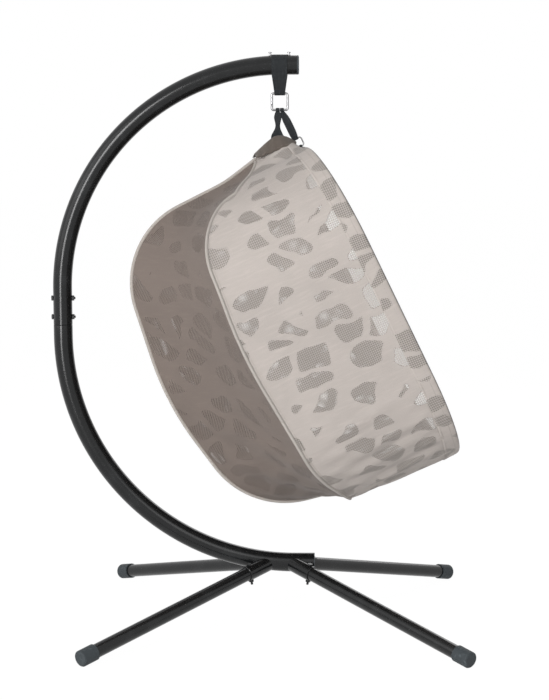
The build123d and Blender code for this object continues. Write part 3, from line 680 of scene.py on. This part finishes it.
class PODCHAIR_OT_stand(bpy.types.Operator):
    """Finish the stand's tubes, caps and fasteners"""

    bl_idname = "podchair.stand"
    bl_label = "Stand finishes"

    # Rim of the hub's plug; drops and rounding of the groove under the arch joint
    plug_rim = 0.002
    groove_drops = (0.0, 0.0014, 0.002, 0.0024)
    groove_rounds = (0.0006, 0.0001)
    # Where a leg starts in its socket and how far it stops short of its foot; chamfer, clearance and lip of a socket
    leg_start, foot_end = 0.0663, 0.0102
    chamfer, clearance, lip = 0.0012, 0.0003, 0.01

    def execute(self, context):
        colours = context.scene.stand_colours
        coat = powder_coat("powder_coat", colours.coat)
        for node, mesh in self.tubes(context.scene.stand_sizes).items():
            piece = place(f"{node}_coated", mesh, coat)
            seat(piece, "powder_coat", node, body="stand")
        fasteners = nodes_named("arc_joint", "leg_bolts", "leg_nuts")
        dress(powder_coat("fastener_black", colours.coat, 0.3, 1500.0), *fasteners)
        dress(moulded_rubber("foot_rubber", colours.rubber), *nodes_named("foot_cap"))
        dress(moulded_rubber("cap_plastic", colours.rubber, 0.45), "arc_end_cap", "hub_end_plug")
        bright = plated_steel("bright_steel", colours.bright)
        dress(bright, "strap_stop_bolts", "hook_body", "hook_gate", "hook_gate_pin", "front_d_ring")
        dress(plated_steel("spring_steel", tint(colours.bright, 0.5), 0.4), "front_hoop", "side_rib", "back_rib")
        return {"FINISHED"}

    def tubes(self, sizes):
        """Smooth tubes on the frame's own centre lines, one mesh for each node that they stand for."""
        upper, hub_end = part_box("upper_arc_tube"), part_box("hub_end_plug")[1][0] - self.plug_rim
        upright = upper[0][0] + sizes.tube
        top = upper[1][2] - sizes.tube
        over = self.arch(upright, sizes.joint, top, sizes.upper_bend, upper[1][0])
        under = self.arch(upright, sizes.joint, sizes.hub, sizes.lower_bend, hub_end)
        under = np.concatenate([under[:1] - UP * np.array(self.groove_drops)[:, None], under[1:]])
        girth = np.full(len(under), sizes.tube)
        girth[:3] = sizes.neck, sizes.tube - self.groove_rounds[0], sizes.tube - self.groove_rounds[1]
        made = {"upper_arc_tube": self.tube(over, sizes.tube), "lower_frame": [self.tube(under, girth)]}
        base = np.mean([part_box(name)[k][0] for name in nodes_named("leg_front", "leg_back") for k in (0, 1)])
        drop = np.arctan2(sizes.hub - sizes.foot, sizes.leg_span)
        end = sizes.socket_end
        bore = sizes.leg + self.clearance
        rim = (0.0, end - self.chamfer, end, end + 1e-5, end - self.lip)
        socket = (sizes.socket, sizes.socket, sizes.socket - self.chamfer, bore, bore)
        reach = sizes.leg_span / np.cos(drop)
        ends = (("front", 1), ("back", -1))
        for name, side_x, side_y in [(f"leg_{a}_{b}", x, y) for a, x in ends for b, y in SIDES]:
            start = np.array((base + side_x * sizes.leg_offset, 0, sizes.hub))
            level = np.array((side_x * cos(sizes.leg_angle), side_y * sin(sizes.leg_angle), 0))
            out = level * np.cos(drop) - UP * np.sin(drop)
            made[name] = self.straight(start, out, (self.leg_start, reach - self.foot_end), (sizes.leg, sizes.leg))
            made["lower_frame"].append(self.straight(start, out, rim, socket))
        made["lower_frame"] = join_meshes("lower_frame", made["lower_frame"])
        return made

    def arch(self, upright, low, level, bend, end, steps=96):
        """Centre line of one arch tube: an upright, a quarter circle and a level run."""
        way = 1 if level > low else -1
        a = np.linspace(0, pi / 2, steps)
        turn_x, turn_z = upright + bend * (1 - np.cos(a)), level - way * bend * (1 - np.sin(a))
        x = np.concatenate([[upright], turn_x, [end]])
        z = np.concatenate([[low], turn_z, [level]])
        return np.stack([x, 0 * x, z], -1)

    def tube(self, path, radius, sides=64):
        """Circle of a given radius carried along a line in the arch's plane."""
        side = np.broadcast_to(np.array((0.0, 1.0, 0.0)), path.shape)
        profile = round_profile(1.0, sides)[None] * np.broadcast_to(radius, len(path))[:, None, None]
        return carry(path, profile, side, np.cross(side, ways(path)), caps=True, name="tube")

    def straight(self, start, out, along, radius, sides=64):
        """Circles of given radii at given distances along a straight line."""
        path = start + np.array(along)[:, None] * out
        side = np.broadcast_to(unit(np.cross(UP, out)), path.shape)
        profile = round_profile(1.0, sides)[None] * np.array(radius)[:, None, None]
        return carry(path, profile, side, np.cross(side, out), caps=True, name="tube")


class PODCHAIR_OT_side_panels(bpy.types.Operator):
    """Side panels of printed mesh, from the hem to the rib seam"""

    bl_idname = "podchair.side_panels"
    bl_label = "Side panels"

    # Width of the cloth as cut, and its share of the rectangle; depth of the hollow and of the drag folds
    flat_width, cut_share = 0.47, 0.889
    hollow, fold = 0.004, 0.0034

    def execute(self, context):
        pod = the_pod()
        colours = context.scene.cloth_colours
        material = mesh_cloth("side_mesh", colours.side, colours.spot, seed=0.31, faint=0.3)
        # The inner face is the same mesh cloth darkened: painted shade of the pod's inside
        shaded_inside = mesh_cloth("side_lining", tint(colours.side, 0.62), tint(colours.spot, 0.58), seed=0.31)
        for name, sign in SIDES:
            piece = place(f"side_cloth_{name}", self.panel(pod, sign), material)
            thicken(piece, pod.sizes.cloth, shaded_inside)
            seat(piece, "side_mesh", f"side_panel_{name}", body="chair")
        return {"FINISHED"}

    def panel(self, pod, sign, rows=260, cols=72):
        """Wall from hem to seam: outline point plus depth, drawn in by a shallow hollow and low drag folds."""
        share = np.linspace(0, 1, rows)[:, None]
        q = np.linspace(0, 1, cols)[None]
        seam = pod.seam_depth(share[:, 0])[:, None]
        front = 2 * pod.sizes.rim
        depth = front + (seam - front) * q
        drop, side, normal = pod.outline(share, depth)
        hollow = -self.hollow * np.sin(pi * q) * np.sin(pi * share) ** 2
        low = smooth(0.55, 0.8, share) * (1 - smooth(0.95, 1.0, share))
        drag = np.sin(112 * share + 6 * q + 2 * np.sin(7 * q)) + 0.6 * np.sin(187 * share - 9 * q + 1.3)
        grow = hollow + self.fold * low * drag * np.clip(np.sin(pi * q), 0, 1) ** 0.6
        lift = pod.tent(depth, side) * (share < 0.5)
        points = pod.at(drop + grow * normal[..., 0] - lift, depth, sign * (side + grow * normal[..., 1]))
        chart = np.stack(np.broadcast_arrays(share * pod.half_girth, depth + 0 * share), -1)
        if sign < 0:
            points, chart = points[:, ::-1], chart[:, ::-1]
        return lay_grid("side_cloth", points, chart + np.array((0, 3.0 if sign > 0 else 0.0)))


class PODCHAIR_OT_back_panels(bpy.types.Operator):
    """Back panels between the rib seam and the middle seam of the back"""

    bl_idname = "podchair.back_panels"
    bl_label = "Back panels"

    # Cloth as cut, and its share of the rectangle; depth of the slack folds
    flat_size, cut_share = (0.52, 1.55), 0.718
    fold = 0.004

    def execute(self, context):
        pod = the_pod()
        colours = context.scene.cloth_colours
        # Back cloth and its spot thread come from the back colour, which carries painted shade
        material = mesh_cloth("back_mesh", colours.back, tint(colours.back, 1.22), seed=1.7, dots=0.5, faint=0.4)
        # The inner face is the same mesh cloth darkened: painted shade of the pod's inside
        shaded_inside = mesh_cloth("back_lining", tint(colours.back, 1.3), tint(colours.spot, 0.48), seed=1.7)
        for name, sign in SIDES:
            piece = place(f"back_cloth_{name}", self.panel(pod, sign), material)
            thicken(piece, pod.sizes.cloth, shaded_inside)
            seat(piece, "back_mesh", f"back_panel_{name}", body="chair")
        return {"FINISHED"}

    def panel(self, pod, sign, rows=200, cols=64):
        """Chord from the rib seam to the middle seam, swollen outwards by a sine, with slack folds near the foot."""
        share = np.linspace(0, 1, rows)
        seam = even(pod.seam(share, sign), rows)
        line = pod.back_line(rows)
        spine = pod.at(line[:, 0], line[:, 1], 0.0)
        q = np.linspace(0, 1, cols)[None, :, None]
        chord = seam[:, None] + (spine - seam)[:, None] * q
        along = unit(np.gradient(seam, axis=0) + np.gradient(spine, axis=0))
        out = unit(np.cross(spine - seam, along)) * sign
        k = share[:, None, None]
        swell = pod.sizes.bulge * np.sin(pi * q) * np.sin(pi * k) ** 0.6
        slack = smooth(0.45, 0.75, k) * np.sin(pi * k) ** 0.5
        folds = np.sin(9 * q + 47 * k + 1.5 * np.sin(9 * k)) + 0.6 * np.sin(15 * q - 83 * k)
        points = chord + out[:, None] * (swell + self.fold * slack * folds * np.sin(pi * q) ** 0.6)
        width = np.linalg.norm(spine - seam, axis=1)[:, None]
        run = np.linspace(0, self.flat_size[1], rows)[:, None] + 0 * width * q[..., 0]
        chart = np.stack([run, width * q[..., 0]], -1)
        if sign < 0:
            points, chart = points[:, ::-1], chart[:, ::-1]
        return lay_grid("back_cloth", points, chart + np.array((0, 2.0 if sign > 0 else 0.0)))


class PODCHAIR_OT_hem(bpy.types.Operator):
    """Hem of the opening: padded rim round the hoop and the doubled strip behind it"""

    bl_idname = "podchair.hem"
    bl_label = "Front hem"

    # Place of the rim's dark edge, a line of painted shade along its outermost edge, measured round the profile from
    # the strip's inner end
    rim_shade_line = 0.0776
    # Padding round the rim; lift of the strip's outer and inner face off the wall; height of its ripple
    padding, outer_lift, inner_lift, ripple = 0.0016, 0.0022, 0.0007, 0.0006

    def execute(self, context):
        pod = the_pod()
        colours = context.scene.cloth_colours
        material = mesh_cloth("hem_mesh", colours.side, colours.spot, seed=4.3, doubled=self.rim_shade_line)
        piece = place("hem_cloth", self.hem(pod), material)
        seat(piece, "hem_mesh", "front_hem", body="chair")
        return {"FINISHED"}

    def hem(self, pod, rows=420):
        """Closed profile carried round the outline: along the strip's inner face, round the rim and back outside."""
        share = np.linspace(0, 2, rows, endpoint=False)
        half = np.where(share <= 1, share, 2 - share)
        sign = np.where(share <= 1, 1.0, -1.0)
        drop, side, normal = pod.outline(half)
        rim, wide = pod.sizes.rim, pod.sizes.hem
        bound = rim + self.padding
        a = np.linspace(radians(265), radians(10), 26)
        ring = np.stack([rim - bound * np.sin(a), -rim + bound * np.cos(a)], -1)
        outer = np.stack([np.linspace(rim * 1.2, wide, 10), np.full(10, self.outer_lift)], -1)
        inner = np.stack([np.linspace(wide, rim * 2.2, 10), np.full(10, self.inner_lift)], -1)
        profile = np.concatenate([inner, ring, outer])
        ripple = self.ripple * np.sin(half * 160)[:, None]
        lift = profile[None, :, 1] + ripple * smooth(0.02, 0.05, profile[None, :, 0])
        drawn = pod.tent(profile[None, :, 0], side[:, None]) * (half < 0.5)[:, None]
        points = pod.at(
            drop[:, None] + lift * normal[:, :1] - drawn,
            profile[None, :, 0] + 0 * lift,
            sign[:, None] * (side[:, None] + lift * normal[:, 1:]),
        )
        run = np.linspace(0, 2 * pod.half_girth, rows + 1)
        girth = np.concatenate([[0], np.cumsum(np.linalg.norm(np.diff(profile, axis=0, append=profile[:1]), axis=1))])
        chart = np.stack(np.meshgrid(run, girth, indexing="ij"), -1)
        return lay_grid("hem_cloth", points, chart, (True, True))


class PODCHAIR_OT_piping(bpy.types.Operator):
    """Piping of the rib seam and of the middle seam of the back"""

    bl_idname = "podchair.piping"
    bl_label = "Seam piping"

    def execute(self, context):
        pod = the_pod()
        colours = context.scene.cloth_colours
        material = plain_cloth("piping_cloth", colours.piping)
        for name, nodes, path, radius in (
            ("side_piping", ("side_rib_sleeve", "side_rib"), self.rib(pod), 0.0055),
            ("back_piping", ("back_rib_sleeve", "back_rib"), self.spine(pod), 0.006),
        ):
            way = ways(path)
            side = unit(np.cross(way, pod.behind))
            mesh = carry(path, round_profile(radius), side, np.cross(side, way), caps=True, name=name)
            piece = place(name, mesh, material)
            seat(piece, "piping_cloth", *nodes, body="chair")
        return {"FINISHED"}

    def rib(self, pod, count=420):
        """Seam line from the crown down one side, under the foot and up the other side."""
        share = np.linspace(0.012, 1, count // 2)
        return even(np.concatenate([pod.seam(share, 1), pod.seam(share, -1)[::-1][1:]]), count)

    def spine(self, pod, count=220):
        """Middle seam of the back."""
        line = pod.back_line(count)
        return pod.at(line[:, 0], line[:, 1], 0.0)


class PODCHAIR_OT_crown_tab(bpy.types.Operator):
    """Folded patch of plain cloth over the crown"""

    bl_idname = "podchair.crown_tab"
    bl_label = "Crown tab"

    # Cloth as cut, its area, its thickness and the pitch of its thread
    flat_size, area = (0.12, 0.15), 0.0155
    thickness, thread = 0.0022, 0.0022
    # Ridge of the folded patch, and its lower edge on each side, as depth and height above the crown
    ridge_depths = (0.017, 0.03, 0.045, 0.072, 0.112, 0.158)
    ridge_heights = (0.027, 0.047, 0.063, 0.076, 0.067, 0.053)
    edge_depths = (0.02, 0.05, 0.1, 0.166)
    edge_heights = (0.024, 0.03, 0.033, 0.04)
    half_width = 0.042

    def execute(self, context):
        pod = the_pod()
        material = plain_cloth("crown_cloth", context.scene.cloth_colours.crown, self.thread)
        piece = place("crown_cloth", self.tab(pod), material)
        thicken(piece, self.thickness)
        seat(piece, "crown_cloth", "crown_tab", body="chair")
        return {"FINISHED"}

    def tab(self, pod, rows=72, cols=61):
        """Grid of the folded patch."""
        k, w = np.meshgrid(np.linspace(0, 1, rows), np.linspace(-1, 1, cols), indexing="ij")
        chart = np.stack([self.flat_size[1] * k, self.flat_size[0] / 2 * w], -1)
        return lay_grid("crown_cloth", self.patch(pod, k, w), chart)

    @classmethod
    def patch(cls, pod, k, w):
        """Folded patch: straight flanks from the ridge line down to the edge line, with a soft fold along the ridge."""
        ridge_n = cls.ridge_depths[0] + (cls.ridge_depths[-1] - cls.ridge_depths[0]) * k
        edge_n = cls.edge_depths[0] + (cls.edge_depths[-1] - cls.edge_depths[0]) * k
        ridge = np.interp(ridge_n, *cls.rounded(cls.ridge_depths, cls.ridge_heights))
        edge = np.interp(edge_n, *cls.rounded(cls.edge_depths, cls.edge_heights))
        fold = (np.sqrt(w**2 + 0.02) - sqrt(0.02)) / (sqrt(1.02) - sqrt(0.02))
        height = ridge + (edge - ridge) * fold + 0.0012 * np.sin(31 * k + 3 * w) * np.abs(w)
        depth = ridge_n + (edge_n - ridge_n) * fold
        return pod.at(-height, depth, cls.half_width * w * (0.45 + 0.55 * smooth(0, 0.25, k)))

    @staticmethod
    def rounded(depths, heights):
        """The same line with its corners averaged away."""
        at = np.linspace(depths[0], depths[-1], 120)
        raw = np.interp(at, depths, heights)
        return at, np.convolve(np.pad(raw, 10, mode="reflect", reflect_type="odd"), np.full(21, 1 / 21), mode="valid")


class PODCHAIR_OT_stitching(bpy.types.Operator):
    """Rows of stitches along the hem, the rib seam and the crown tab"""

    bl_idname = "podchair.stitching"
    bl_label = "Stitching"

    # Length, pitch and radius of a stitch; depths of the hem's rows; the rib row's distance ahead of its seam
    length, pitch, radius = 0.0044, 0.0062, 0.0008
    hem_depths, rib_inset = (0.0205, 0.049), 0.011
    # How far each row stands off the wall
    hem_lift, rib_lift, tab_lift = 0.0024, 0.0008, 0.0014

    def execute(self, context):
        pod = the_pod()
        colours = context.scene.cloth_colours
        pale = sewing_thread("pale_thread", tint(colours.side, 0.8))
        dark = sewing_thread("dark_thread", tint(colours.crown, 1.5))
        for name, rows, material, slot in (
            ("hem_stitching", [self.hem_row(pod, depth) for depth in self.hem_depths], pale, "hem_mesh"),
            ("rib_stitching", [self.rib_row(pod, sign) for sign in (1, -1)], pale, "piping_cloth"),
            ("tab_stitching", [self.tab_row(pod, sign) for sign in (1, -1)], dark, "crown_cloth"),
        ):
            piece = place(name, self.sew(name, rows), material)
            seat(piece, slot, body="chair")
        return {"FINISHED"}

    def hem_row(self, pod, depth):
        """Line round the hem at one depth, just proud of its outer face."""
        share = np.linspace(0, 2, 1200)
        half = np.where(share <= 1, share, 2 - share)
        return pod.wall(half, np.where(share <= 1, 1.0, -1.0), depth, self.hem_lift)

    def rib_row(self, pod, sign):
        """Line on the side panel, a little ahead of the rib seam."""
        half = np.linspace(0.05, 0.995, 700)
        return pod.wall(half, sign, pod.seam_depth(half) - self.rib_inset, self.rib_lift)

    def tab_row(self, pod, sign):
        """Line along the lower edge of the crown tab."""
        k = np.linspace(0.05, 0.97, 120)
        points = [PODCHAIR_OT_crown_tab.patch(pod, k, np.full(120, sign * w)) for w in (0.86, 0.9)]
        out = unit(np.cross(ways(points[0]), points[1] - points[0])) * sign
        out = out * np.sign(-out @ pod.down)[:, None]
        return points[0] + out * self.tab_lift, out

    def sew(self, name, rows):
        """Each stitch is a six-sided spindle of five rings, laid along its row at an even pitch."""
        ring = round_profile(1.0, 6)
        rise = np.array((0.35, 0.85, 1.0, 0.85, 0.35))
        run = np.array((-0.5, -0.36, 0.0, 0.36, 0.5))
        girth = np.tile(ring, (5, 1)) * np.repeat(rise, 6)[:, None] * self.radius
        shape = np.concatenate([np.repeat(run, 6)[:, None] * self.length, girth], -1)
        i, j = np.meshgrid(np.arange(4), np.arange(6), indexing="ij")
        after = (j + 1) % 6
        quads = np.stack([i * 6 + j, i * 6 + after, (i + 1) * 6 + after, (i + 1) * 6 + j], -1).reshape(-1, 4)
        spots_at, frames = [], []
        for points, out in rows:
            total = np.linalg.norm(np.diff(points, axis=0), axis=1).sum()
            count = int(total / self.pitch)
            at = even(np.concatenate([points, out], -1), count)
            way = ways(at[:, :3])
            lift = unit(at[:, 3:] - np.sum(at[:, 3:] * way, axis=1, keepdims=True) * way)
            spots_at.append(at[:, :3])
            frames.append(np.stack([way, np.cross(lift, way), lift], 1))
        centre, turn = np.concatenate(spots_at), np.concatenate(frames)
        verts = centre[:, None] + np.einsum("vk,skd->svd", shape, turn)
        shift = (np.arange(len(centre)) * 30)[:, None, None]
        faces = (quads[None] + shift).reshape(-1, 4).tolist()
        ends = np.stack([np.arange(6)[::-1], 24 + np.arange(6)])
        faces += (ends[None] + shift).reshape(-1, 6).tolist()
        mesh = bpy.data.meshes.new(name)
        mesh.from_pydata(verts.reshape(-1, 3), [], faces)
        mesh.polygons.foreach_set("use_smooth", np.ones(len(faces), bool))
        mesh.update()
        return mesh


class PODCHAIR_OT_webbing(bpy.types.Operator):
    """Hanging loop, two straps and the ring's tab, all of black webbing"""

    bl_idname = "podchair.webbing"
    bl_label = "Webbing"

    # Thickness of the webbing and its gap to a rod; radius of the hook's rod and of the ring's
    thick, gap, rod, ring_rod = 0.0024, 0.0003, 0.004, 0.0025
    # Hanging loop: width at the tube, loss of width at the hook, and cloth as cut with its area
    loop_width, loop_taper, loop_flat, loop_area = 0.052, 0.017, (0.052, 0.33), 0.0154
    # Length of an eye on the hook and on the ring; offset of each eye from the hook's middle
    hook_eye, ring_eye, eye_offset = 0.0124, 0.02, np.array((0.007, 0, 0))
    # Drop and depth of the ring and of the bar under the crown tab
    ring_at, bar_at = (-0.0365, 0.015), (-0.062, 0.07)
    # Ring's tab: its reach to each side, its fold beside the ring, its drop on the hem and the bar's lift above it
    tab_reach, tab_fold, tab_drop, tab_lift = 0.06, 0.009, -0.0017, 0.0065

    def execute(self, context):
        pod = the_pod()
        material = woven_webbing("black_webbing", context.scene.cloth_colours.webbing)
        loop = place("hanging_loop", self.hanging_loop(), material)
        seat(loop, "black_webbing", "hanger_loop")
        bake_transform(loop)
        for name, node, mesh in (
            ("front_webbing", "front_strap", self.front_strap(pod)),
            ("rear_webbing", "rear_strap", self.rear_strap(pod)),
        ):
            strap = place(name, mesh, material)
            seat(strap, "black_webbing", node)
            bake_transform(strap)
        tab = place("ring_webbing", self.ring_tab(pod), material)
        seat(tab, "black_webbing", "front_ring_tab", body="chair")
        return {"FINISHED"}

    def hanging_loop(self, count=160):
        """Belt round the tube and the hook's bar: two arcs and the straight runs that touch both, narrower below."""
        tube = (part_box("upper_arc_tube")[1][2] - TUBE_AXIS[2]) + self.gap + self.thick / 2
        bar = self.rod + self.gap + self.thick / 2
        reach = TUBE_AXIS[2] - HOOK_TOP[2]
        lean = np.arccos((tube - bar) / reach)
        a = np.linspace(lean - pi, pi - lean, 90)
        b = np.linspace(-lean, lean, 50)
        over = np.stack([np.sin(a) * tube, np.cos(a) * tube], -1)
        under = np.stack([np.sin(b[::-1]) * bar, -np.cos(b) * bar - reach], -1)
        flat = even(np.concatenate([over, under, over[:1]]), count + 1)[:-1]
        path = np.stack([np.full(count, TUBE_AXIS[0]), flat[:, 0], TUBE_AXIS[2] + flat[:, 1]], -1)
        way = unit(np.roll(path, -1, axis=0) - np.roll(path, 1, axis=0))
        side = np.broadcast_to(np.array((1.0, 0, 0)), path.shape)
        low = np.clip((TUBE_AXIS[2] - 0.03 - path[:, 2]) / (reach - 0.03), 0, 1)
        width = self.loop_width - self.loop_taper * low
        return carry(path, flat_profile(width, self.thick), side, np.cross(way, side), wrap=True, name="hanging_loop")

    def eye(self, centre, axle, inner, length):
        """Strap end wrapped round a rod: a flat profile carried round a circle."""
        a = np.linspace(0, 2 * pi, 40, endpoint=False)
        first = unit(np.cross(axle, np.array((0, 1.0, 0))))
        second = np.cross(axle, first)
        spoke = np.cos(a)[:, None] * first + np.sin(a)[:, None] * second
        path = centre + spoke * (inner + self.thick / 2)
        side = np.broadcast_to(axle, path.shape)
        return carry(path, flat_profile(length, self.thick), side, spoke, wrap=True, name="eye")

    def leg(self, ends, wide, widths, count=48):
        """Strap between two eyes: a flat profile along a slightly bowed line, turned and widened on its way."""
        k = np.linspace(0, 1, count)[:, None]
        bow = np.cross(unit(ends[1] - ends[0]), np.array((0, 1.0, 0)))
        path = ends[0] + (ends[1] - ends[0]) * k + bow * 0.001 * np.sin(pi * k)
        side = unit(wide[0] + (wide[1] - wide[0]) * smooth(0, 1, k))
        width = np.interp(k[:, 0], np.linspace(0, 1, len(widths)), widths)
        width = np.convolve(np.pad(width, 4, mode="edge"), np.full(9, 1 / 9), mode="valid")
        lift = unit(np.cross(ways(path), side))
        return carry(path, flat_profile(width, self.thick), np.cross(lift, ways(path)), lift, caps=True, name="leg")

    def front_strap(self, pod):
        """Strap from the hook down to the ring at the crown of the hoop."""
        top = HOOK_LOW + self.eye_offset
        ring = pod.at(*self.ring_at, 0.0)
        level = np.array((1.0, 0, 0))
        inner = self.rod + self.gap
        ring_inner = self.ring_rod + self.gap
        ends = np.stack([top - UP * (inner + self.thick / 2), ring - pod.down * (ring_inner + self.thick / 2)])
        leg = self.leg(ends, np.stack([level, -pod.behind]), (self.hook_eye, 0.022, 0.026, 0.026, 0.026, 0.026, 0.022))
        eyes = (self.eye(top, level, inner, self.hook_eye), self.eye(ring, pod.behind, ring_inner, self.ring_eye))
        return join_meshes("front_webbing", [leg, *eyes])

    def rear_strap(self, pod):
        """Strap from the hook down through the crown tab to the bar under it."""
        top = HOOK_LOW - self.eye_offset
        foot = pod.at(*self.bar_at, 0.0)
        level = np.array((1.0, 0, 0))
        inner = self.rod + self.gap
        ends = np.stack([top - UP * (inner + self.thick / 2), foot])
        widths = (self.hook_eye, 0.026, 0.024, 0.016, 0.015, 0.026, 0.042, 0.042)
        leg = self.leg(ends, np.stack([level, -pod.behind]), widths)
        anchor = self.eye(foot, pod.behind, 0.0008, 0.05)
        return join_meshes("rear_webbing", [leg, self.eye(top, level, inner, self.hook_eye), anchor])

    def ring_tab(self, pod, count=80):
        """Webbing from one side of the crown, round the ring's bar and on to the other side."""
        inner = self.ring_rod + self.gap + self.thick / 2
        a = np.linspace(radians(-60), radians(240), 40)
        hoop = np.stack([-self.tab_lift - inner * np.sin(a), inner * np.cos(a)], -1)
        arm = np.array([(self.tab_drop, self.tab_reach), (self.tab_drop, self.tab_fold)])
        flat = even(np.concatenate([arm, hoop, arm[::-1] * (1, -1)]), count)
        path = pod.at(flat[:, 0], self.ring_at[1], flat[:, 1])
        way = ways(path)
        side = np.broadcast_to(pod.behind, path.shape)
        profile = flat_profile(self.ring_eye, self.thick)
        return carry(path, profile, side, np.cross(way, side), caps=True, name="ring_webbing")


class PODCHAIR_OT_stage(bpy.types.Operator):
    """Pale floor, soft lamps and the camera at the photograph's angle"""

    bl_idname = "podchair.stage"
    bl_label = "Stage"

    # Height that the lamps face; half the floor's width, its own glow and the share of it that the camera sees
    aim = 0.9
    reach, floor_glow, floor_white = 40.0, 1.03, 0.95

    def execute(self, context):
        scene = context.scene
        settings = scene.stage_settings
        scene.view_settings.view_transform = "Standard"
        self.camera(scene, settings)
        self.lamp(scene, "key_lamp", settings.key, (2.5, 2.5), (1.6, -5.2, 3.6))
        self.lamp(scene, "strip_lamp", settings.strip, (1.4, 4.0), (-2.6, -5.6, 2.0))
        self.lamp(scene, "fill_lamp", settings.fill, (3.5, 3.5), (-4.5, -2.5, 3.0))
        self.lamp(scene, "rear_lamp", settings.fill, (3.0, 3.0), (1.5, 4.5, 3.5))
        self.sky(scene, settings)
        self.floor(scene)
        return {"FINISHED"}

    def camera(self, scene, settings):
        """Camera from its place, yaw, pitch and roll, beside the middle of the four feet."""
        caps = np.array([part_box(name) for name in nodes_named("foot_cap")])
        middle = (caps[:, 0].min(axis=0) + caps[:, 1].max(axis=0)) / 2
        data = bpy.data.cameras.new("photo_camera")
        data.lens = settings.lens
        data.sensor_width = 36.0
        camera = bpy.data.objects.new("photo_camera", data)
        turn = (
            Matrix.Rotation(settings.yaw, 4, "Z")
            @ Matrix.Rotation(pi / 2 - settings.pitch, 4, "X")
            @ Matrix.Rotation(settings.roll, 4, "Z")
        )
        at = settings.camera
        camera.matrix_world = Matrix.Translation((at[0] + middle[0], at[1] + middle[1], at[2])) @ turn
        scene.collection.objects.link(camera)
        scene.camera = camera

    def lamp(self, scene, name, power, size, at):
        """Soft lamp, wide and high as given, that faces the middle of the chair."""
        data = bpy.data.lights.new(name, "AREA")
        data.energy = power
        data.shape = "RECTANGLE"
        data.size, data.size_y = size
        lamp = bpy.data.objects.new(name, data)
        z = unit(np.array(at) - UP * self.aim)
        x = unit(np.cross(UP, z))
        turn = Matrix(np.stack([x, np.cross(z, x), z], -1).tolist()).to_4x4()
        lamp.matrix_world = Matrix.Translation(at) @ turn
        scene.collection.objects.link(lamp)

    def seen(self, tree):
        """Share of rays that come from the camera, a mirror-like surface or glass."""
        path = tree.nodes.new("ShaderNodeLightPath")
        total = path.outputs["Is Camera Ray"]
        for other in ("Is Glossy Ray", "Is Transmission Ray"):
            most = tree.nodes.new("ShaderNodeMath")
            most.operation = "MAXIMUM"
            tree.links.new(total, most.inputs[0])
            tree.links.new(path.outputs[other], most.inputs[1])
            total = most.outputs[0]
        return total

    def sky(self, scene, settings):
        """White to the camera, an even soft light to the object."""
        world = bpy.data.worlds.new("studio")
        world.use_nodes = True
        tree = world.node_tree
        back = tree.nodes["Background"]
        strength = tree.nodes.new("ShaderNodeMapRange")
        tree.links.new(self.seen(tree), strength.inputs[0])
        strength.inputs["To Min"].default_value = settings.sky
        strength.inputs["To Max"].default_value = 1.0
        back.inputs["Color"].default_value = (1, 1, 1, 1)
        tree.links.new(strength.outputs[0], back.inputs["Strength"])
        scene.world = world

    def floor(self, scene):
        """Pale floor: mostly its own white to the camera, with enough plain surface to keep the shadow."""
        shade = Shade("pale_floor")
        shade.put(Base_Color=(0.85, 0.85, 0.85), Roughness=0.9)
        glow = shade.node("ShaderNodeEmission", None, self.floor_glow)
        share = shade.math("MULTIPLY", self.seen(shade.tree), self.floor_white)
        blend = shade.node("ShaderNodeMixShader", share, shade.surface.outputs[0], glow.outputs[0])
        shade.tree.links.new(blend.outputs[0], shade.tree.nodes["Material Output"].inputs["Surface"])
        mesh = bpy.data.meshes.new("floor")
        corners = [(x * self.reach, y * self.reach, 0) for x, y in ((-1, -1), (1, -1), (1, 1), (-1, 1))]
        mesh.from_pydata(corners, [], [(0, 1, 2, 3)])
        mesh.materials.append(shade.material)
        floor = bpy.data.objects.new("floor", mesh)
        scene.collection.objects.link(floor)


class PODCHAIR_PT_panel(bpy.types.Panel):
    """Sizes, colours and pieces of the chair"""

    bl_idname = "PODCHAIR_PT_panel"
    bl_label = "Pod Chair"
    bl_space_type = "VIEW_3D"
    bl_region_type = "UI"
    bl_category = "Pod Chair"

    def draw(self, context):
        for operator in OPERATORS:
            self.layout.operator(operator.bl_idname)
        for group in GROUPS:
            box = self.layout.box()
            for name in GROUPS[group].__annotations__:
                box.prop(getattr(context.scene, group), name)


GROUPS = {
    "pod_sizes": PodSizes,
    "cloth_colours": ClothColours,
    "stand_sizes": StandSizes,
    "stand_colours": StandColours,
    "stage_settings": StageSettings,
}
OPERATORS = (
    PODCHAIR_OT_stand,
    PODCHAIR_OT_side_panels,
    PODCHAIR_OT_back_panels,
    PODCHAIR_OT_hem,
    PODCHAIR_OT_piping,
    PODCHAIR_OT_crown_tab,
    PODCHAIR_OT_stitching,
    PODCHAIR_OT_webbing,
    PODCHAIR_OT_stage,
)


def register():
    """Register the groups, the operators and the panel."""
    for name, group in GROUPS.items():
        bpy.utils.register_class(group)
        setattr(bpy.types.Scene, name, bpy.props.PointerProperty(type=group))
    for operator in OPERATORS:
        bpy.utils.register_class(operator)
    bpy.utils.register_class(PODCHAIR_PT_panel)


def unregister():
    """Take everything out again."""
    bpy.utils.unregister_class(PODCHAIR_PT_panel)
    for operator in reversed(OPERATORS):
        bpy.utils.unregister_class(operator)
    for name, group in GROUPS.items():
        delattr(bpy.types.Scene, name)
        bpy.utils.unregister_class(group)


def main():
    """Dress the chair, one operator at a time."""
    register()
    for operator in OPERATORS:
        group, action = operator.bl_idname.split(".")
        getattr(getattr(bpy.ops, group), action)()


if __name__ == "__main__":
    main()
